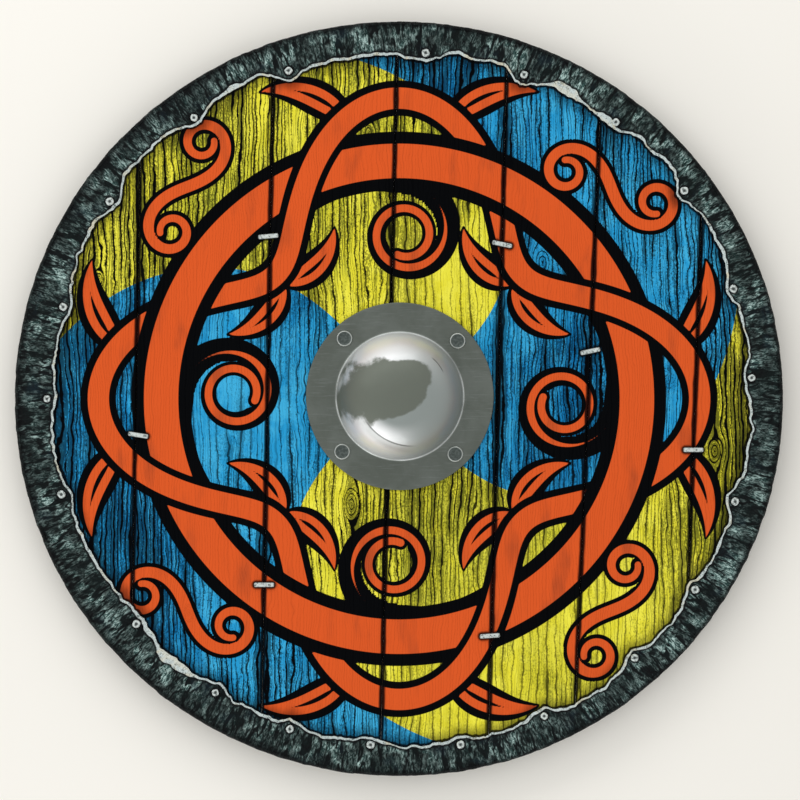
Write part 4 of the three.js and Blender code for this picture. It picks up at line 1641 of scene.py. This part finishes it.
# %% [markdown]
# ## Rivets, nails and staples
# A rivet is a turned shape. A hand-forged nail is turned too, but with few sides, and then each head
# is knocked out of true by its own steady random numbers, and some get the cross that a chisel left.

# %% Rivets
RIVET_TAIL = 6 * MM
for number, node in enumerate(named("boss_rivet"), 1):
    low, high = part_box(node)
    at, head, seat = middle(node), (high.x - low.x) / 2, flange_top + CLEARANCE
    section = [
        (0, low.z), (0.7 * RIVET_TAIL, low.z), (0.93 * RIVET_TAIL, low.z + 0.5 * MM),
        (RIVET_TAIL, board_back - CLEARANCE), (RIVET_SHANK, board_back - CLEARANCE), (RIVET_SHANK, seat),
        (head, seat), (head, seat + 0.5 * MM), (0.96 * head, high.z - 0.35 * MM), (0.91 * head, high.z),
        (0.86 * head, high.z), (0.8 * head, high.z - 0.3 * MM),
        (0.4 * head, high.z - 0.42 * MM), (0, high.z - 0.42 * MM),
    ]
    rivet = piece_from(spun(section, 64), f"rivet_{number}", [rivet_finish], "rivet_iron", node)
    places = points_of(rivet.data)
    radius = np.hypot(places[:, 0], places[:, 1])
    # The ring marks where the rivet's painted highlight goes
    keep_values(rivet.data, "ring", ease(radius, 0.82 * head, 0.88 * head) * (places[:, 2] > seat))
    move_points(rivet.data, places + np.array([at.x, at.y, 0]))
    shade_smooth(rivet.data)


# %% [markdown]
# The rim nails are the same turned shape with fewer sides. Only the vertices of the head are moved,
# so the shank stays in the middle of its hole, and the head is kept under the height that the frame
# gives it.

# %% Rim nails
NAIL_CLENCH = 2.4 * MM
NAIL_SIDES = 14
NAIL_KNOCK = 0.17 * MM


def jitter(places, amount, seed):
    """Knocks each vertex a little out of place, the same way on every run"""
    rank = np.arange(len(places))
    return places + amount * np.stack([scattered(rank, axis, seed) for axis in range(3)], axis=1)


def nail_section(head, low, seat, high):
    """From the clenched tip up the shank and over a head with a hollow that the hammer left"""
    profile = [(1, 0), (0.97, 0.4), (0.86, 0.8), (0.68, 0.97), (0.5, 0.86), (0.28, 0.62), (0, 0.55)]
    shank = [
        (0, low), (0.6 * NAIL_CLENCH, low + 0.3 * MM), (NAIL_CLENCH, hide_back - CLEARANCE),
        (NAIL_SHANK, hide_back - CLEARANCE), (NAIL_SHANK, seat),
    ]
    return shank + [(share * head, seat + rise * (high - seat)) for share, rise in profile]


for number, node in enumerate(rim_nails, 1):
    low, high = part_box(node)
    at, head, seat = middle(node), (high.x - low.x) / 2, hide_front + CLEARANCE
    bm = spun(nail_section(head, low.z, seat, high.z), NAIL_SIDES)
    nail = piece_from(bm, f"rim_nail_head_{number}", [nail_finish], "forged_iron", node)
    places = points_of(nail.data)
    on_head = places[:, 2] > seat - LEVEL
    radius, bearing = np.hypot(places[:, 0], places[:, 1]), np.arctan2(places[:, 1], places[:, 0]) + number
    squarer = 1 - 0.05 * (1 + np.cos(4 * bearing)) - 0.03 * (1 + np.cos(2 * bearing + number))
    places[on_head, :2] *= squarer[on_head, None]
    places[on_head] = jitter(places[on_head], NAIL_KNOCK, 400 + number)
    places[on_head, 2] = np.clip(places[on_head, 2], seat, high.z)
    keep_values(nail.data, "hollow", ease(-radius, -0.62 * head, -0.2 * head))
    move_points(nail.data, places + np.array([at.x, at.y, 0]))
print(len(rim_nails), "rim nails")

# %% [markdown]
# A staple was bent from a flat rod, so it has round ends and one leg at each. Here it is a bar with
# its upright corners rounded, cut across near both ends, and the two end pieces of its underside are
# then drawn down as the legs.

# %% Staples
STAPLE_ROUND = 0.42
STAPLE_EDGE = 0.8 * MM
STAPLE_KNOCK = 0.16 * MM


def staple_mesh(length, width, low, seat, high):
    bm = bmesh.new()
    bar = bmesh.ops.create_cube(bm, size=1)["verts"]
    bmesh.ops.scale(bm, verts=bar, vec=(length, width, high - seat))
    bmesh.ops.translate(bm, verts=bar, vec=(0, 0, (high + seat) / 2))
    upright = [edge for edge in bm.edges if abs(edge.verts[0].co.z - edge.verts[1].co.z) > 0.5 * MM]
    bmesh.ops.bevel(
        bm, geom=upright, offset=STAPLE_ROUND * width, segments=4, profile=0.5, affect="EDGES", material=-1
    )
    inner = length / 2 - STAPLE_LEG
    for place in (-inner, *np.linspace(-0.3 * length, 0.3 * length, 9), inner):
        whole = bm.verts[:] + bm.edges[:] + bm.faces[:]
        bmesh.ops.bisect_plane(bm, geom=whole, plane_co=(place, 0, 0), plane_no=(1, 0, 0))
    feet = [face for face in bm.faces if face.normal.z < -0.5 and abs(face.calc_center_median().x) > inner]
    for foot in feet:
        leg = bmesh.ops.extrude_face_region(bm, geom=[foot])["geom"]
        leg_ends = [part for part in leg if isinstance(part, bmesh.types.BMVert)]
        bmesh.ops.translate(bm, verts=leg_ends, vec=(0, 0, low - seat))
        bm.faces.remove(foot)
    bmesh.ops.recalc_face_normals(bm, faces=bm.faces)
    rim = [edge for edge in bm.edges if min(vertex.co.z for vertex in edge.verts) > high - LEVEL]
    rim = [edge for edge in rim if edge.calc_face_angle(0) > 0.6]
    bmesh.ops.bevel(bm, geom=rim, offset=STAPLE_EDGE, segments=2, profile=0.5, affect="EDGES", material=-1)
    return bm


for number, node in enumerate(named("staple"), 1):
    at, heading, length, width = lie_of(node)
    low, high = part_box(node)
    seat = board_front + CLEARANCE
    bm = staple_mesh(length, width, low.z, seat, high.z)
    staple = piece_from(bm, f"staple_bar_{number}", [staple_finish], "forged_iron", node)
    places = points_of(staple.data)
    upper = places[:, 2] > seat + 0.1 * MM
    places[upper] = jitter(places[upper], STAPLE_KNOCK, 500 + number)
    places[:, 2] = np.minimum(places[:, 2], high.z)
    places[:, 1] = np.clip(places[:, 1], -width / 2, width / 2)
    # The staples are darker towards their sides and ends
    side_tick = ease(np.abs(places[:, 1]), 0.3 * width, 0.5 * width)
    end_tick = ease(np.abs(places[:, 0]), 0.42 * length, 0.5 * length)
    keep_values(staple.data, "tick", np.maximum(side_tick, end_tick))
    turn = np.array([[math.cos(heading), math.sin(heading)], [-math.sin(heading), math.cos(heading)]])
    places[:, :2] = places[:, :2] @ turn + np.array(at[:2])
    move_points(staple.data, places)
print("staples", round(length / MM, 1), "by", round(width / MM, 1), "mm")

# %% [markdown]
# ## The grip
# The bar across the back was shaved with a drawknife, flat where it lies on the boards and rounder
# where the hand closes round it. It starts as a many-sided rod along X, cut into rings, and each ring
# is pressed into a rounded rectangle of the right width.

# %% Grip finish
def grip_finish():
    finish = Finish("worn grip")
    calc, rise, tint = finish.calc, finish.rise, finish.tint
    along = finish.place((0.05, 1, 1))
    streak = finish.noise(along, 300, 4, 0.6)
    line = finish.noise(along, 900, 2, 0.5)
    colour = tint(rise(streak, 0.35, 0.68), paint(166, 124, 80), paint(108, 74, 44))
    colour = tint(rise(line, 0.56, 0.7, 0, 0.6), colour, paint(66, 42, 26))
    colour = tint(calc("MULTIPLY", finish.stored("hand"), 0.45), colour, paint(78, 50, 30))
    rough = rise(finish.stored("hand"), 0, 1, 0.62, 0.38)
    return finish.wear(Base_Color=colour, Roughness=rough, Normal=finish.bumps(streak, 0.35 * MM))


# %% [markdown]
# The width comes from the frame, which has the bar wide behind the boss and narrow at its ends. The
# section is a rounded rectangle whose corners one number tells: 2 would be an oval and a high number
# a sharp rectangle, so the number drops where the hand goes.

# %% Shape the grip
GRIP_SIDES = 48
GRIP_RINGS = 170
GRIP_SQUARE = 5.0
GRIP_SQUARE_HAND = 2.8
GRIP_HAND = (40 * MM, 62 * MM)
GRIP_END = 3 * MM
GRIP_END_ROUND = 0.12
GRIP_SHAVED = 0.012

grip_low, grip_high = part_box("grip")
grip_points = points_of(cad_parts["grip"].data)


def grip_half_width(x):
    """Half the bar's width at each x, between the widths that the frame has at its corners"""
    side = grip_points[grip_points[:, 1] > boss_middle.y + 5 * MM]
    places = np.unique(np.round(side[:, 0], 4))
    widths = [side[np.abs(side[:, 0] - place) < 0.1 * MM][:, 1].max() - boss_middle.y for place in places]
    return np.interp(x, places, widths)


def under_hand(x):
    """1 where the hand closes round the bar, and 0 past it"""
    near, far = GRIP_HAND
    return ease(-np.abs(x - boss_middle.x), -far, -near)


def bowed(part, power):
    """The cosine or sine of a rounded rectangle"""
    return np.sign(part) * np.abs(part) ** power


def grip_mesh():
    bm = bmesh.new()
    rod = bmesh.ops.create_cone(
        bm, cap_ends=True, segments=GRIP_SIDES, radius1=1, radius2=1, depth=1
    )["verts"]
    bmesh.ops.rotate(bm, verts=rod, matrix=Matrix.Rotation(math.radians(90), 3, "Y"))
    runs = [edge for edge in bm.edges if abs(edge.verts[0].co.x - edge.verts[1].co.x) > 0.5]
    bmesh.ops.subdivide_edges(bm, edges=runs, cuts=GRIP_RINGS)
    return bm


def shape_grip(piece):
    places = points_of(piece.data)
    x = grip_low.x + (places[:, 0] + 0.5) * (grip_high.x - grip_low.x)
    around = np.arctan2(places[:, 2], places[:, 1])
    power = 2 / (GRIP_SQUARE + (GRIP_SQUARE_HAND - GRIP_SQUARE) * under_hand(x))
    half_depth = (grip_high.z - grip_low.z) / 2
    half_length = (grip_high.x - grip_low.x) / 2
    end_round = 1 - GRIP_END_ROUND * ease(np.abs(x - boss_middle.x), half_length - GRIP_END, half_length)
    shaved = 1 - GRIP_SHAVED * (1 + drift(x / (14 * MM), around * 1.3, 601))
    y = grip_half_width(x) * bowed(np.cos(around), power) * end_round * shaved
    z = half_depth * bowed(np.sin(around), power) * end_round
    move_points(piece.data, np.stack([x, boss_middle.y + y, grip_low.z + half_depth + z], axis=1))


# %% [markdown]
# Each nail's shank goes right through the bar, and its head is let into the back of it, so that the
# shield lies flat on the bar and not on the nails. Two sets of pegs make the two widths of hole.

# %% Make the grip
RECESS_DEPTH = 1.5 * MM

grip = piece_from(grip_mesh(), "grip_bar", [], "grip_wood", "grip")
shape_grip(grip)
shank_pegs, recess_pegs = bmesh.new(), bmesh.new()
for node in named("grip_nail"):
    below, recess_top = grip_low.z - PEG_END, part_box(node)[0].z + RECESS_DEPTH
    peg(shank_pegs, middle(node), GRIP_SHANK + CLEARANCE, below, grip_high.z + PEG_END)
    peg(recess_pegs, middle(node), GRIP_NAIL_HEAD + CLEARANCE, below, recess_top)
drill_once(grip, shank_pegs, "grip pegs")
drill_once(grip, recess_pegs, "grip recesses")
keep_values(grip.data, "hand", under_hand(points_of(grip.data)[:, 0]))
give_finishes(grip, grip_finish())
shade_smooth(grip.data)
print("grip", len(grip.data.polygons), "faces")

# %% [markdown]
# A grip nail is turned as well. Its head is a flat disc with a worn edge, and its tip ends in the
# board, so nothing of it shows on the painted face.

# %% Grip nails
GRIP_HEAD_DEPTH = 1.2 * MM
GRIP_NAIL_TIP = 3.2 * MM

for number, node in enumerate(named("grip_nail"), 1):
    low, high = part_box(node)
    at = middle(node)
    section = [
        (0, low.z), (0.75 * GRIP_NAIL_HEAD, low.z + 0.1 * MM), (GRIP_NAIL_HEAD, low.z + 0.5 * MM),
        (GRIP_NAIL_HEAD, low.z + GRIP_HEAD_DEPTH), (GRIP_SHANK, low.z + GRIP_HEAD_DEPTH),
        (GRIP_SHANK, high.z - GRIP_NAIL_TIP), (0, high.z),
    ]
    bm = spun(section, NAIL_SIDES)
    nail = piece_from(bm, f"grip_nail_head_{number}", [nail_finish], "forged_iron", node)
    move_points(nail.data, points_of(nail.data) + np.array([at.x, at.y, 0]))
print(len(named("grip_nail")), "grip nails")


# %% [markdown]
# ## Floor and light
# The drawing has no shadow and an even cream ground, so most of the light is a plain white sky, and
# the floor is a wide cream sheet. Two long panels, one above the shield's top and one low beyond its
# foot, only put the two soft glints on the dome and shape the hide's folds. A panel's brightness is
# told in times the white of a full sky, which stays true when its size is changed.

# %% Floor and light
FLOOR_SIZE = 12.0
LIGHT_DISTANCE = 2.2
SKY = 0.765
CREAM = paint(252, 249, 241)
# Name, bearing and height in degrees, width and depth in metres, brightness
PANELS = [("wide top", 112, 33, 3.8, 0.9, 1.6), ("bottom", -116, 13, 3.0, 0.7, 2.1)]


def soft_light(name, bearing, height, width, depth, brightness):
    """A glowing panel that faces the shield"""
    light = bpy.data.lights.new(name, "AREA")
    light.shape, light.size, light.size_y = "RECTANGLE", width, depth
    light.energy = brightness * math.pi * width * depth
    made = bpy.data.objects.new(name, light)
    bpy.context.scene.collection.objects.link(made)
    bearing, height = math.radians(bearing), math.radians(height)
    flat = math.cos(height)
    way = Vector((flat * math.cos(bearing), flat * math.sin(bearing), math.sin(height)))
    made.location = way * LIGHT_DISTANCE
    made.rotation_euler = way.to_track_quat("Z", "Y").to_euler()


bm = bmesh.new()
bmesh.ops.create_grid(bm, x_segments=1, y_segments=1, size=FLOOR_SIZE / 2)
floor_mesh = bpy.data.meshes.new("floor")
bm.to_mesh(floor_mesh)
bm.free()
floor = bpy.data.objects.new("floor", floor_mesh)
bpy.context.scene.collection.objects.link(floor)
floor.data.materials.append(Finish("pale floor").wear(Base_Color=CREAM, Roughness=0.9))

for panel in PANELS:
    soft_light(*panel)
world = bpy.data.worlds.new("studio")
bpy.context.scene.world = world
world.use_nodes = True
world.node_tree.nodes["Background"].inputs["Color"].default_value = (1, 1, 1, 1)
world.node_tree.nodes["Background"].inputs["Strength"].default_value = SKY
bpy.context.scene.view_settings.view_transform = "Standard"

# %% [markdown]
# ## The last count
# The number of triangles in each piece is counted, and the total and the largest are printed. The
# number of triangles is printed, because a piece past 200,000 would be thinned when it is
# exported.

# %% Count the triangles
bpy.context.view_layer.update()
triangles = {piece.name: len(piece.data.loops) - 2 * len(piece.data.polygons) for piece in pieces}
most = max(triangles, key=triangles.get)
print(len(pieces), "pieces,", sum(triangles.values()), "triangles,", triangles[most], "of them in", most)
